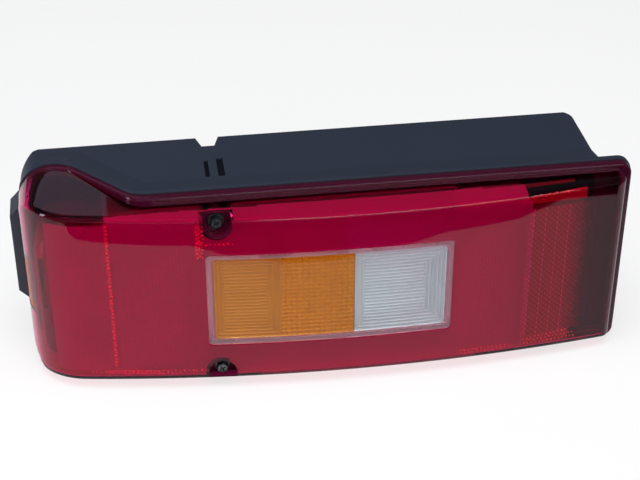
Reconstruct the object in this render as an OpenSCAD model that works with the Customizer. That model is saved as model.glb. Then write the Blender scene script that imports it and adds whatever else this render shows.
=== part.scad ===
// Rear combination lamp of a heavy truck.
// A bowed red lens wraps round the outer end of a black tub and is screwed to it over a seal.
// An amber and clear window is set into the lens, a reflex reflector is welded behind its inner end,
// and silvered trays, bulbs, contact strips and a rear socket fill the tub.
// Frame: +X is to the right seen from the front, -Y is the front, +Z is up.
// The origin is the middle of the stud pattern on the tub's flat back. Sizes are in millimetres.

/* [Lamp] */
// Length over the front flange
lamp_length = 429; // [400:1:460]
// Height over the front flange
lamp_height = 152.4; // [146:0.2:160]
// Depth of the tub, from its back to the joint with the lens
tub_depth = 80; // [76:1:95]
// How far the middle of the lens stands in front of the joint
lens_depth = 31; // [29:0.5:36]
// Radius of the lens's bow, seen from above
bow_radius = 1150; // [1000:10:1400]
// Place along the length where the bow stands out most
bow_x = 25; // [10:1:40]
// Radius of the lens's wrap round the outer end, seen from above
wrap_radius = 44; // [36:1:48]
// Slope of the lens's long walls, as a rise for each millimetre of depth
lens_slope = 0.1; // [0.06:0.01:0.11]
// How far the lens's front face stands inside the flange at the top and bottom
face_step = 9.2; // [8.2:0.1:10.2]

/* [Joint] */
// How far the joint steps back at the outer end
joint_step = 50; // [40:1:52]
// Distance from the outer end to where the step begins
step_start = 79.5; // [75:0.5:90]
// Distance from the outer end to where the step is complete
step_end = 34.5; // [30:0.5:38]
// Radius of the outer end's corners, seen from the front
outer_corner = 24; // [20:1:28]
// Radius of the inner end's corners, seen from the front
inner_corner = 10; // [9.5:0.5:14]
// Radius of the two bends in the joint, seen from above
joint_bend = 22; // [14:1:26]
// Depth of the lip round the lens
lip_depth = 6.5; // [5:0.5:8]
// Depth of the foot inside the lens's edge
foot_depth = 4; // [3:0.5:5]
// Width of the lens's foot, from the flange's outside
foot_width = 8.6; // [8:0.1:9]
// Width of the seal
seal_width = 2.6; // [2:0.1:3]
// Depth of the seal's groove
seal_depth = 2.2; // [1.6:0.1:2.6]
// Distance from the flange's outside to the seal
seal_inset = 2.6; // [2.4:0.1:3]

/* [Walls] */
// Wall of the lens
lens_wall = 2.6; // [2.2:0.1:3]
// Back wall of the tub
back_wall = 3; // [2.4:0.1:4]
// Long walls of the tub
tub_wall = 3; // [2.4:0.1:3]
// Wall of the silvered trays
tray_wall = 1.6; // [1.2:0.1:2]
// Length of the tub's flare behind the joint
flare = 20; // [14:1:24]
// How far the tub's long walls stand inside the flange behind the flare
flare_step = 3.6; // [2.7:0.1:4.2]
// How far the flange overhangs the tub at the inner end
overhang = 23; // [18:1:26]
// Thickness of the flange
flange_depth = 4; // [3.6:0.2:6]

/* [Window] */
// Width of the window in the lens, at the drawn length
window_span = 173; // [165:1:174]
// Height of the window in the lens
window_height = 76; // [68:1:78]
// Middle of the window along the drawn length
window_place = -3.5; // [-4:0.5:-3]
// Width of the clear frame round the window's inserts
frame_width = 5; // [4:0.5:6]
// Thickness of the frame and inserts
insert_wall = 2.4; // [2:0.1:2.6]
// Place of the joint between the amber and clear inserts along the drawn length
clear_place = 13; // [8:1:16]
// Distance between the flutes on the inserts
flute_pitch = 2.5; // [2.2:0.1:4]

/* [Lens screws] */
// Place of the two lens screws along the drawn length
screw_place = -81; // [-83:0.5:-80]
// Distance of each lens screw inside the flange
screw_inset = 14.6; // [14.2:0.1:15.2]
// Hexagon of the screw heads, across the flats
hex_flats = 8; // [7:0.5:9]
// Radius of the wells round the screw heads
well_radius = 9.5; // [8:0.5:9.5]
// Depth of the wells behind the front of the lens
well_depth = 14; // [12:0.5:15]
// Gap round each screw in its post
thread_gap = 0.05; // [0.02:0.01:0.1]

/* [Bulbs] */
// Place of the tail bulb along the drawn length, as for the others
tail_place = -180; // [-182:1:-178]
// Place of the stop bulb
stop_place = -122; // [-126:1:-118]
// Place of the indicator bulb
indicator_place = -37; // [-40:1:-30]
// Place of the reversing bulb
reversing_place = 46; // [44:1:48]
// Place of the rear fog bulb
fog_place = 112; // [111:1:113]
// Radius of a bulb's metal cap
cap_radius = 7.5; // [7.4:0.05:7.6]
// Radius of the glass of the large bulbs
glass_radius = 12.5; // [11:0.5:13]
// Gap round a bulb cap in its holder
cap_gap = 0.15; // [0.1:0.05:0.3]
// Gap round a holder in its tray
holder_gap = 0.2; // [0.1:0.05:0.4]

/* [Mounting] */
// Distance between the studs along the length
stud_span_x = 240; // [220:5:260]
// Distance between the studs in height
stud_span_z = 80; // [72:1:84]
// Radius of the studs
stud_radius = 3; // [2.5:0.5:4]
// Length of the studs behind the tub
stud_length = 22; // [16:1:30]
// Place of the socket along the drawn length
socket_place = 75; // [73:1:77]
// Length of the socket's collar behind the tub
socket_length = 24; // [20:1:28]

/* [Hidden] */
$fn = 96;
bow_fn = 1080;
x_out = -lamp_length / 2;
x_in = lamp_length / 2;
half_height = lamp_height / 2;

// Places along the length and up the height follow the lamp's size from the one it is drawn at
drawn_length = 429;
drawn_height = 152.4;
along = lamp_length / drawn_length;
up = lamp_height / drawn_height;
window_width = window_span * along;
window_x = window_place * along;
clear_x = clear_place * along;
screw_x = screw_place * along;
screw_z = half_height - screw_inset;
tail_x = tail_place * along;
stop_x = stop_place * along;
indicator_x = indicator_place * along;
reversing_x = reversing_place * along;
fog_x = fog_place * along;
socket_x = socket_place * along;
face_half_height = half_height - face_step;
tub_half_height = half_height - flare_step;

joint_y = -tub_depth;
joint_y_out = joint_y + joint_step;
face_y = -(tub_depth + lens_depth);
step_x1 = x_out + step_start;
step_x2 = x_out + step_end;
step_angle = -atan2(joint_step, step_x1 - step_x2);

// The bow's centre, the wrap's centre and the radius of the turn at the inner end
bow_y = face_y + bow_radius;
wrap_x = x_out + wrap_radius;
wrap_y = bow_y - sqrt(pow(bow_radius - wrap_radius, 2) - pow(wrap_x - bow_x, 2));
lens_x_in = x_in - 3.5;
turn_radius = 7;
turn_x = lens_x_in - turn_radius;
turn_y = bow_y - sqrt(pow(bow_radius - turn_radius, 2) - pow(turn_x - bow_x, 2));

// The turn's circle is this much larger, so that it cuts the bow cleanly
turn_ease = 0.06;

lip_inset = 1;
tub_x_out = x_out + 2;
tub_x_in = x_in - overhang;
cavity_inset = seal_inset + seal_width + 1.4;

well_y = face_y + well_depth;
well_floor = 3;
post_y = well_y + well_floor;
post_radius = 4.3;
screw_shank = 2.05;

tray_back = -40;
tray_floor = 2;
tray_front = -86;
tray_half = tub_half_height - 6.6;
tray_top = 64 * up;
tail_low = -62 * up;
tail_high = 50 * up;
tray_x1 = x_out + 9.5;
tray_x2 = -156 * along;
tray_x3 = -88.5 * along;
mid_x1 = -70 * along;
mid_x2 = 88.5 * along;
fog_x1 = mid_x2 + 1;
fog_x2 = 135 * along;
fixing_z = [40 * up, -50 * up, 54 * up];
fixing_x = [-100 * along, -50 * along, 68 * along];
tray_fixings = [[tail_x, fixing_z[0]], [tail_x, fixing_z[1]],
                [fixing_x[0], fixing_z[2]], [fixing_x[0], -fixing_z[2]],
                [fixing_x[1], fixing_z[2]], [fixing_x[1], -fixing_z[2]],
                [fixing_x[2], fixing_z[2]], [fixing_x[2], -fixing_z[2]],
                [fog_x, fixing_z[1]], [fog_x, -fixing_z[1]]];
tray_post_radius = 4;
tray_screw_radius = 1.2;

holder_back = -20;
holder_front = -45;
strip_thickness = 0.8;
pin_pitch = 8;
pin_count = 7;

// The socket's flange and the breather lie in pockets, so that nothing stands over the back face
socket_sink = 4.2;
socket_half_x = 12;
socket_half_z = 35;
sink_gap = 0.5;
breather_x = -160 * along;
breather_z = -50 * up;
breather_radius = 7;
breather_sink = 3.2;

// The studs are this much thicker where they are knurled and pressed into the tub
knurl = 0.5;
stud_places = [for (i = [-1, 1], j = [-1, 1]) [i * stud_span_x / 2, j * stud_span_z / 2]];

marker_half_height = 21;
marker_y1 = joint_y + 14;
marker_y2 = joint_y_out - 6;

// A drawing in X and Z, made solid from y0 to y1
module along_y(y0, y1) {
    translate([0, y1, 0]) rotate([90, 0, 0]) linear_extrude(y1 - y0) children();
}

// A drawing in Y and Z, made solid from x0 to x1
module along_x(x0, x1) {
    translate([x0, 0, 0]) rotate([90, 0, 90]) linear_extrude(x1 - x0) children();
}

// A drawing in X and Y, made solid over the lamp's height
module along_z(half = half_height + 5) {
    translate([0, 0, -half]) linear_extrude(2 * half) children();
}

// A rectangle with one corner radius on its left and another on its right
module panel(x0, x1, z0, z1, r0, r1) {
    translate([x0 + r0, z0]) square([x1 - x0 - r0 - r1, z1 - z0]);
    translate([x0, z0 + r0]) square([r0 + 1, z1 - z0 - 2 * r0]);
    translate([x1 - r1 - 1, z0 + r1]) square([r1 + 1, z1 - z0 - 2 * r1]);
    for (z = [z0 + r0, z1 - r0]) translate([x0 + r0, z]) circle(r = r0);
    for (z = [z0 + r1, z1 - r1]) translate([x1 - r1, z]) circle(r = r1);
}

// The flange's outline seen from the front, set in by a distance
module outline(inset) {
    panel(x_out + inset, x_in - inset, inset - half_height, half_height - inset,
          outer_corner - inset, inner_corner - inset);
}

// A band of that outline
module outline_band(inset, width) {
    difference() {
        outline(inset);
        outline(inset + width);
    }
}

// The line of the joint seen from above, from the inner end to the outer end, with both bends
function bend(centre, from, steps) =
    [for (i = [0 : steps])
        let (a = from + step_angle * i / steps)
        centre + joint_bend * [cos(a), sin(a)]];
function reversed(list) = [for (i = [len(list) - 1 : -1 : 0]) list[i]];
joint_reach = joint_bend * tan(-step_angle / 2);
joint_line = concat(
    [[400, joint_y]],
    bend([step_x1 + joint_reach, joint_y + joint_bend], -90, 8),
    reversed(bend([step_x2 - joint_reach, joint_y_out - joint_bend], 90, 8)));

// Everything in front of the stepped joint, moved back by a distance
module before_joint(shift) {
    along_z() polygon(concat([for (p = joint_line) p + [0, shift]],
                             [[-400, joint_y_out + shift], [-400, face_y - 50],
                              [400, face_y - 50]]));
}

// Everything behind the stepped joint, moved back by a distance
module behind_joint(shift) {
    along_z() polygon(concat([for (p = joint_line) p + [0, shift]],
                             [[-400, joint_y_out + shift], [-400, 50], [400, 50]]));
}

// The lens seen from above, set in by a distance
module lens_plan(inset) {
    bow = bow_radius - inset;
    x0 = bow_x + (wrap_x - bow_x) * bow / (bow_radius - wrap_radius);
    x1 = bow_x + (turn_x - bow_x) * bow / (bow_radius - turn_radius);
    intersection() {
        translate([bow_x, bow_y]) circle(r = bow, $fn = bow_fn);
        union() {
            translate([x0, face_y - 5]) square([x1 - x0, -face_y]);
            translate([wrap_x, wrap_y]) circle(r = wrap_radius - inset);
            translate([x_out + inset, wrap_y]) square([wrap_radius, -5 - wrap_y]);
            if (inset == 0) translate([turn_x, turn_y]) circle(r = turn_radius + turn_ease);
            translate([turn_x - 5, inset == 0 ? turn_y : face_y])
                square([turn_radius + 5 - inset, 75]);
        }
    }
}

// The whole space within the lens's outside, set in by a distance
module lens_space(inset) {
    front = face_half_height - inset;
    back = front + lens_slope * (-10 - face_y);
    intersection() {
        along_z() lens_plan(inset);
        along_x(x_out - 1, x_in + 1)
            polygon([[face_y, -front], [-10, -back], [-10, back], [face_y, front]]);
        along_y(face_y - 1, 0)
            panel(x_out + inset, lens_x_in - inset, inset - half_height, half_height - inset,
                  outer_corner - inset, inner_corner - inset);
    }
}

// A layer between two depths behind the bowed front
module bow_layer(d0, d1) {
    along_z(window_height) difference() {
        translate([bow_x, bow_y]) circle(r = bow_radius - d0, $fn = bow_fn);
        translate([bow_x, bow_y]) circle(r = bow_radius - d1, $fn = bow_fn);
    }
}

// The U-shaped space round one lens screw, open towards the lens's long wall
module well_shape(radius) {
    translate([screw_x, screw_z]) circle(r = radius);
    translate([screw_x - radius, screw_z]) square([2 * radius, half_height + 5 - screw_z]);
}

// The window's opening, or the space inside its frame
module window_shape(inset) {
    panel(window_x - window_width / 2 + inset, window_x + window_width / 2 - inset,
          inset - window_height / 2, window_height / 2 - inset, 3, 3);
}

// The opening for the side marker, set across the wrapped end
module marker_prism() {
    along_x(x_out - 2, x_out + 14) translate([marker_y1, -marker_half_height])
        square([marker_y2 - marker_y1, 2 * marker_half_height]);
}

module lens() {
    color([0.62, 0.02, 0.10, 0.6]) difference() {
        union() {
            difference() {
                union() {
                    intersection() {
                        lens_space(0);
                        before_joint(0);
                    }
                    intersection() {
                        along_y(joint_y - 30, 0) outline(lip_inset);
                        behind_joint(-lip_depth);
                        before_joint(0);
                    }
                }
                intersection() {
                    lens_space(lens_wall);
                    before_joint(-foot_depth);
                }
                intersection() {
                    along_y(joint_y - 30, 0) outline(foot_width);
                    behind_joint(-foot_depth - 0.5);
                }
            }
            // Cups round the two screw heads
            for (side = [0, 1]) mirror([0, 0, side]) intersection() {
                lens_space(0.2);
                along_y(face_y, post_y) well_shape(well_radius + 2.2);
            }
            // Light baffles between the tail, stop, fog and reflex areas
            for (x = [tray_x2, fog_x2]) intersection() {
                difference() {
                    lens_space(0.5);
                    lens_space(lens_wall + 3);
                }
                translate([x - 0.75, face_y, -60 * up]) cube([1.5, 22, 120 * up]);
            }
        }
        for (side = [0, 1]) mirror([0, 0, side]) {
            along_y(face_y - 1, well_y) well_shape(well_radius);
            translate([screw_x, post_y + 1, screw_z]) rotate([90, 0, 0])
                cylinder(r = screw_shank + 0.65, h = well_floor + 2);
        }
        along_y(face_y - 1, face_y + 12) window_shape(0);
        marker_prism();
    }
}

module window_frame() {
    color([0.85, 0.72, 0.75, 0.7]) intersection() {
        along_y(face_y - 1, face_y + 12) difference() {
            window_shape(0);
            window_shape(frame_width);
        }
        bow_layer(0.8, 0.8 + insert_wall);
    }
}

// One insert of the window, with flutes that follow the bow on its inside
module insert(x0, x1, depth) {
    zh = window_height / 2 - frame_width;
    intersection() {
        union() {
            bow_layer(depth, depth + insert_wall - 0.9);
            for (z = [-zh + flute_pitch / 2 : flute_pitch : zh - flute_pitch / 2])
                translate([bow_x, bow_y, z]) rotate([0, 0, -96])
                    rotate_extrude(angle = 12, $fn = bow_fn)
                        translate([bow_radius - depth - insert_wall + 0.9, 0])
                            circle(r = flute_pitch * 0.46, $fn = 24);
        }
        along_y(face_y - 1, face_y + 16) intersection() {
            window_shape(frame_width);
            translate([x0, -zh]) square([x1 - x0, 2 * zh]);
        }
    }
}

module amber_insert() {
    color([0.80, 0.48, 0.08, 0.75])
        insert(window_x - window_width / 2, clear_x, 1.4);
}

module clear_insert() {
    color([0.85, 0.87, 0.88, 0.6])
        insert(clear_x, window_x + window_width / 2, 1.4);
}

module marker_insert() {
    color([0.80, 0.42, 0.06, 0.75]) intersection() {
        difference() {
            lens_space(0.3);
            lens_space(0.3 + insert_wall);
        }
        marker_prism();
    }
}

module reflex_plate() {
    color([0.60, 0.05, 0.12]) intersection() {
        bow_layer(lens_wall, lens_wall + 2.4);
        along_y(face_y, face_y + 25)
            panel(fog_x2 + 2, tub_x_in - 5, -54 * up, 54 * up, 3, 3);
    }
}

module lens_seal() {
    color([0.05, 0.05, 0.05]) intersection() {
        along_y(face_y, 0) outline_band(seal_inset, seal_width);
        behind_joint(0);
        before_joint(seal_depth);
    }
}

// The tub's long walls in section, flared to the flange in front of y
module flare_section(y, length, chamfer) {
    polygon([[y - 60, -half_height], [y + 2, -half_height], [y + flare, -tub_half_height],
             [y + length - chamfer, -tub_half_height], [y + length, chamfer - tub_half_height],
             [y + length, tub_half_height - chamfer], [y + length - chamfer, tub_half_height],
             [y + flare, tub_half_height], [y + 2, half_height], [y - 60, half_height]]);
}

// The space to the outer side of the mitre between the two flares
module mitre_side() {
    m = [cos(90 + step_angle / 2), sin(90 + step_angle / 2)];
    corner = [step_x2, joint_y_out];
    along_z() polygon([corner - 60 * m, corner + 120 * m, [-400, 200], [-400, -200]]);
}

module tub_plan(inset, x0, r0, r1) {
    x1 = tub_x_in - inset;
    translate([x0 + r0, joint_y - 10]) square([x1 - r1 - x0 - r0, -joint_y + 10 - inset]);
    translate([x0, joint_y - 10]) square([r0 + 1, -joint_y + 10 - inset - r0]);
    translate([x1 - r1 - 1, joint_y - 10]) square([r1 + 1, -joint_y + 10 - inset - r1]);
    translate([x0 + r0, -inset - r0]) circle(r = r0);
    translate([x1 - r1, -inset - r1]) circle(r = r1);
}

module tub_outside() {
    intersection() {
        union() {
            difference() {
                union() {
                    along_x(x_out, x_in) flare_section(joint_y, tub_depth, 2.5);
                    translate([step_x1, joint_y, 0]) rotate([0, 0, step_angle])
                        along_x(-110, 20) flare_section(0, 26, 0);
                }
                mitre_side();
            }
            intersection() {
                along_x(x_out, x_in) flare_section(joint_y_out, -joint_y_out, 2.5);
                mitre_side();
            }
        }
        along_z() tub_plan(0, tub_x_out, 24, 12);
        along_y(joint_y - 1, 1) outline(0);
        behind_joint(0);
    }
    intersection() {
        along_y(joint_y, 0) outline(0);
        behind_joint(0);
        before_joint(flange_depth);
    }
    // Pod on the outer end
    along_y(joint_y_out + 2, -4) polygon([[tub_x_out + 2, -43], [x_out - 8.5, -30],
                                          [x_out - 8.5, 34], [tub_x_out + 2, 47]]);
    // Lug behind the flange at the inner end
    translate([tub_x_in, joint_y + 16, tub_half_height - 7.6]) rotate([90, 0, 0]) cylinder(r = 5.5, h = 13);
}

module tub() {
    notch_x = screw_x + 2;
    color([0.10, 0.11, 0.13]) difference() {
        union() {
            difference() {
                tub_outside();
                intersection() {
                    along_y(joint_y - 1, -back_wall) outline(cavity_inset);
                    along_z() tub_plan(back_wall, x_out + cavity_inset, 18, 10);
                }
                intersection() {
                    along_y(joint_y - 1, 0) outline_band(seal_inset, seal_width);
                    behind_joint(-1);
                    before_joint(seal_depth);
                }
            }
            // Posts for the lens screws, each with a web to the long wall
            for (side = [-1, 1]) {
                translate([screw_x, -1, side * screw_z]) rotate([90, 0, 0])
                    cylinder(r = post_radius, h = -1 - post_y);
                translate([screw_x - 1.5, joint_y + flange_depth, side * (screw_z + 5.5) - 4])
                    cube([3, -joint_y - flange_depth - 1, 8]);
            }
            for (p = tray_fixings) translate([p[0], -1, p[1]]) rotate([90, 0, 0])
                cylinder(r = tray_post_radius, h = -1 - tray_back);
            for (p = stud_places) translate([p[0], -1, p[1]]) rotate([90, 0, 0])
                cylinder(r = 10, h = 13);
            // Block that closes the notch in the rear edge
            translate([notch_x - 12, -18, tub_half_height - 12.6]) cube([24, 16, 11]);
            // Floors of the pockets in which the socket's flange and the breather lie
            along_y(-socket_sink - back_wall, -1)
                panel(socket_x - socket_half_x - 3.5, socket_x + socket_half_x + 3.5,
                      -socket_half_z - 3.5, socket_half_z + 3.5, 4, 4);
            translate([breather_x, -1, breather_z]) rotate([90, 0, 0])
                cylinder(r = breather_radius + 3.5, h = breather_sink + back_wall - 1);
        }
        for (side = [-1, 1]) translate([screw_x, post_y + 40, side * screw_z])
            rotate([90, 0, 0]) cylinder(r = screw_shank + thread_gap, h = 41);
        for (p = tray_fixings) translate([p[0], tray_back + 14, p[1]]) rotate([90, 0, 0])
            cylinder(r = tray_screw_radius + thread_gap, h = 15);
        for (p = stud_places) translate([p[0], 1, p[1]]) rotate([90, 0, 0])
            cylinder(r = stud_radius + knurl, h = 20);
        // Notch in the rear upper edge and two slits in front of it
        translate([0, 0, tub_half_height - 9]) linear_extrude(20)
            polygon([[notch_x - 9.2, 1], [notch_x - 4.6, -15], [notch_x + 4.6, -15],
                     [notch_x + 9.2, 1]]);
        translate([notch_x - 5, -58, tub_half_height - 1.4]) cube([3, 23, 4]);
        translate([notch_x + 4, -58, tub_half_height - 1.4]) cube([4.6, 25, 4]);
        translate([socket_x - 7.1, -30, -29.1]) cube([14.2, 40, 58.2]);
        along_y(-socket_sink, 1)
            panel(socket_x - socket_half_x - sink_gap, socket_x + socket_half_x + sink_gap,
                  -socket_half_z - sink_gap, socket_half_z + sink_gap, 3.5, 3.5);
        translate([breather_x, 1, breather_z]) rotate([90, 0, 0]) {
            cylinder(r = 3, h = 10);
            cylinder(r = breather_radius + sink_gap, h = breather_sink + 1);
        }
    }
}

module lens_screws() {
    color([0.62, 0.64, 0.66]) for (side = [-1, 1])
        translate([screw_x, well_y, side * screw_z]) rotate([90, 0, 0]) {
            cylinder(r = hex_flats / 2 / cos(30), h = 5, $fn = 6);
            cylinder(r = 5.6, h = 1.2);
            translate([0, 0, -32]) cylinder(r = screw_shank, h = 33);
        }
}

// A tray's outside or inside in one chamber, open to the front
module chamber(x0, x1, z0, z1, r0, r1, y0, y1) {
    along_y(y0, y1) panel(x0, x1, z0, z1, r0, r1);
}

module holder_hole(x) {
    translate([x, tray_back + 1, 0]) rotate([90, 0, 0])
        cylinder(r = 11 + holder_gap, h = tray_floor + 2);
}

module tray_screw_holes() {
    for (p = tray_fixings) translate([p[0], tray_back + 1, p[1]]) rotate([90, 0, 0])
        cylinder(r = tray_screw_radius + 0.3, h = tray_floor + 2);
}

module tail_tray() {
    w = tray_wall;
    f = tray_back - tray_floor;
    color([0.80, 0.80, 0.82]) difference() {
        union() {
            chamber(tray_x1, tray_x2 + w / 2, tail_low, tail_high, 18, 2, -72, tray_back);
            chamber(tray_x2 - w / 2, tray_x3, -tray_top, tray_half, 4, 4, tray_front, tray_back);
        }
        chamber(tray_x1 + w, tray_x2 - w / 2, tail_low + w, tail_high - w, 18 - w, 1,
                tray_front, f);
        chamber(tray_x2 + w / 2, tray_x3 - w, w - tray_top, tray_half - w, 4 - w, 4 - w,
                tray_front - 1, f);
        // Opening in the outer wall towards the side marker
        translate([tray_x1 - 1, -68, -18]) cube([w + 2, 22, 36]);
        holder_hole(tail_x);
        holder_hole(stop_x);
        tray_screw_holes();
    }
}

module window_tray() {
    w = tray_wall;
    f = tray_back - tray_floor;
    band = window_height / 2 + 5;
    color([0.80, 0.80, 0.82]) difference() {
        union() {
            chamber(mid_x1, mid_x2, -tray_half, tray_half, 3, 3, tray_front, tray_back);
            chamber(tray_x3 + 1, mid_x1 + 6, -band - w, band + w, 2, 2, tray_front, tray_back);
        }
        // Indicator chamber, reversing chamber and the two bands above and below them
        chamber(tray_x3 + 1 + w, clear_x - w / 2, -band, band, 1, 1, tray_front - 1, f);
        chamber(clear_x + w / 2, mid_x2 - w, -band, band, 1, 1, tray_front - 1, f);
        for (side = [0, 1]) mirror([0, 0, side])
            chamber(mid_x1 + w, mid_x2 - w, band + w, tray_half - w, 1, 1, tray_front - 1, f);
        holder_hole(indicator_x);
        holder_hole(reversing_x);
        tray_screw_holes();
    }
}

module fog_tray() {
    w = tray_wall;
    color([0.80, 0.80, 0.82]) difference() {
        chamber(fog_x1, fog_x2, -tray_top, tray_top, 3, 3, tray_front, tray_back);
        chamber(fog_x1 + w, fog_x2 - w, w - tray_top, tray_top - w, 2, 2, tray_front - 1,
                tray_back - tray_floor);
        holder_hole(fog_x);
        tray_screw_holes();
    }
}

module tray_screws() {
    color([0.60, 0.62, 0.64]) for (p = tray_fixings)
        translate([p[0], tray_back - tray_floor, p[1]]) rotate([90, 0, 0]) {
            cylinder(r = 3, h = 1.8);
            translate([0, 0, -12]) cylinder(r = tray_screw_radius, h = 13);
        }
}

// A bayonet holder: barrel, flange behind the tray, bore for the cap and two slots for its pins
module holder(x) {
    translate([x, 0, 0]) difference() {
        union() {
            translate([0, holder_back, 0]) rotate([90, 0, 0])
                cylinder(r = 10, h = holder_back - holder_front - 1);
            translate([0, tray_back + 1, 0]) rotate([90, 0, 0])
                cylinder(r = 11, h = tray_back + 1 - holder_front);
            translate([0, tray_back + 2.5, 0]) rotate([90, 0, 0]) cylinder(r = 14, h = 2.5);
        }
        translate([0, holder_back - 4, 0]) rotate([90, 0, 0])
            cylinder(r = cap_radius + cap_gap, h = 30);
        translate([-1.4, holder_front - 1, -9.4]) cube([2.8, 9.5, 18.8]);
    }
}

module tail_holder() {
    color([0.12, 0.12, 0.13]) holder(tail_x);
}

module stop_holder() {
    color([0.12, 0.12, 0.13]) holder(stop_x);
}

module indicator_holder() {
    color([0.12, 0.12, 0.13]) holder(indicator_x);
}

module reversing_holder() {
    color([0.12, 0.12, 0.13]) holder(reversing_x);
}

module fog_holder() {
    color([0.12, 0.12, 0.13]) holder(fog_x);
}

// A bulb's metal cap with its two bayonet pins and the contact at its foot
module cap(x) {
    translate([x, 0, 0]) {
        translate([0, holder_back - 7, 0]) rotate([90, 0, 0])
            cylinder(r = cap_radius, h = holder_back - 7 - holder_front + 1);
        translate([0, holder_back - 4, 0]) rotate([90, 0, 0]) cylinder(r = 2.5, h = 4);
        translate([0, holder_front + 7, -8.8]) cylinder(r = 1, h = 17.6);
    }
}

module tail_cap() {
    color([0.72, 0.60, 0.36]) cap(tail_x);
}

module stop_cap() {
    color([0.72, 0.60, 0.36]) cap(stop_x);
}

module indicator_cap() {
    color([0.72, 0.60, 0.36]) cap(indicator_x);
}

module reversing_cap() {
    color([0.72, 0.60, 0.36]) cap(reversing_x);
}

module fog_cap() {
    color([0.72, 0.60, 0.36]) cap(fog_x);
}

// A bulb's glass, open at its neck, standing on the cap
module glass(x, radius) {
    y = holder_front - 1;
    centre = -sqrt(radius * radius - 36) - 2;
    translate([x, y, 0]) difference() {
        union() {
            rotate([90, 0, 0]) cylinder(r = 6.8, h = 6);
            translate([0, centre - 2, 0]) sphere(r = radius);
        }
        translate([0, 1, 0]) rotate([90, 0, 0]) cylinder(r = 6, h = 8);
        translate([0, centre - 2, 0]) sphere(r = radius - 0.8);
    }
}

module tail_glass() {
    color([0.85, 0.88, 0.90, 0.35]) glass(tail_x, glass_radius - 3);
}

module stop_glass() {
    color([0.85, 0.88, 0.90, 0.35]) glass(stop_x, glass_radius);
}

module indicator_glass() {
    color([0.90, 0.55, 0.12, 0.5]) glass(indicator_x, glass_radius);
}

module reversing_glass() {
    color([0.85, 0.88, 0.90, 0.35]) glass(reversing_x, glass_radius);
}

module fog_glass() {
    color([0.85, 0.88, 0.90, 0.35]) glass(fog_x, glass_radius);
}

module strip(x0, x1, z, height) {
    translate([x0, holder_back, z - height / 2]) cube([x1 - x0, strip_thickness, height]);
}

module earth_strip() {
    color([0.76, 0.62, 0.36]) strip(tail_x - 4, fog_x + 4, 0, 4);
}

// One feed for each bulb: a long strip at its pin's height and a leg that ends on the holder
module feed(x, row) {
    z = row * pin_pitch;
    strip(min(x, socket_x) - 2.5, max(x, socket_x) + 2.5, z, 5);
    low = min(abs(z), 2.8);
    translate([x - 2.5, holder_back, z > 0 ? low : z])
        cube([5, strip_thickness, abs(z) - low]);
}

module feed_strips() {
    color([0.76, 0.62, 0.36]) {
        feed(tail_x, 3);
        feed(stop_x, 2);
        feed(indicator_x, 1);
        feed(reversing_x, -1);
        feed(fog_x, -2);
    }
}

// The flat pins of the socket, or the slots they are pressed into
module pins(y0, y1) {
    for (i = [0 : pin_count - 1])
        translate([socket_x - 0.4, y0, (i - (pin_count - 1) / 2) * pin_pitch - 1.4])
            cube([0.8, y1 - y0, 2.8]);
}

module socket_pins() {
    color([0.80, 0.66, 0.38]) pins(holder_back + strip_thickness, 17);
}

module socket_body() {
    color([0.13, 0.13, 0.14]) difference() {
        union() {
            translate([socket_x - 7, -12 - socket_sink, -29]) cube([14, 14, 58]);
            along_y(1.5 - socket_sink, 4 - socket_sink)
                panel(socket_x - socket_half_x, socket_x + socket_half_x,
                      -socket_half_z, socket_half_z, 3, 3);
            along_y(3 - socket_sink, socket_length)
                panel(socket_x - 9, socket_x + 9, -31, 31, 2.5, 2.5);
            translate([socket_x + 8, 12, -5]) cube([3, 7, 10]);
        }
        along_y(4 - socket_sink, socket_length + 1)
            panel(socket_x - 7.2, socket_x + 7.2, -29.2, 29.2, 1, 1);
        pins(-30, 30);
    }
}

module socket_seal() {
    color([0.06, 0.06, 0.06]) along_y(-socket_sink, 1.5 - socket_sink) difference() {
        panel(socket_x - socket_half_x + 1, socket_x + socket_half_x - 1,
              1 - socket_half_z, socket_half_z - 1, 3, 3);
        panel(socket_x - 7.4, socket_x + 7.4, -29.4, 29.4, 1, 1);
    }
}

module mounting_studs() {
    color([0.66, 0.67, 0.68]) for (p = stud_places)
        translate([p[0], stud_length, p[1]]) rotate([90, 0, 0]) {
            cylinder(r = stud_radius, h = stud_length + 1);
            translate([0, 0, stud_length]) cylinder(r = stud_radius + knurl, h = 15);
            translate([0, 0, stud_length + 14]) cylinder(r = 8, h = 2.5);
        }
}

module breather() {
    color([0.08, 0.08, 0.08]) translate([breather_x, -breather_sink, breather_z]) {
        rotate([90, 0, 0]) cylinder(r = 2.9, h = back_wall);
        translate([0, 3, 0]) rotate([90, 0, 0]) cylinder(r = breather_radius, h = 3);
    }
}

tub();
lens();
window_frame();
amber_insert();
clear_insert();
marker_insert();
reflex_plate();
lens_seal();
lens_screws();
tail_tray();
window_tray();
fog_tray();
tray_screws();
tail_holder();
stop_holder();
indicator_holder();
reversing_holder();
fog_holder();
tail_cap();
stop_cap();
indicator_cap();
reversing_cap();
fog_cap();
tail_glass();
stop_glass();
indicator_glass();
reversing_glass();
fog_glass();
earth_strip();
feed_strips();
socket_body();
socket_pins();
socket_seal();
mounting_studs();
breather();
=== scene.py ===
"""Looks of a truck's rear combination lamp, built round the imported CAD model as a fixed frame.

Lengths in the classes are in millimetres, in the row frame: +X to the right of somebody who faces the
lamp, -Y out of its face, +Z up, with the origin in the middle of the stud pattern on the tub's back.
"""

from __future__ import annotations

import logging
import math
from collections.abc import Callable
from dataclasses import dataclass, field
from enum import Enum
from functools import cached_property
from typing import Any

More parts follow.
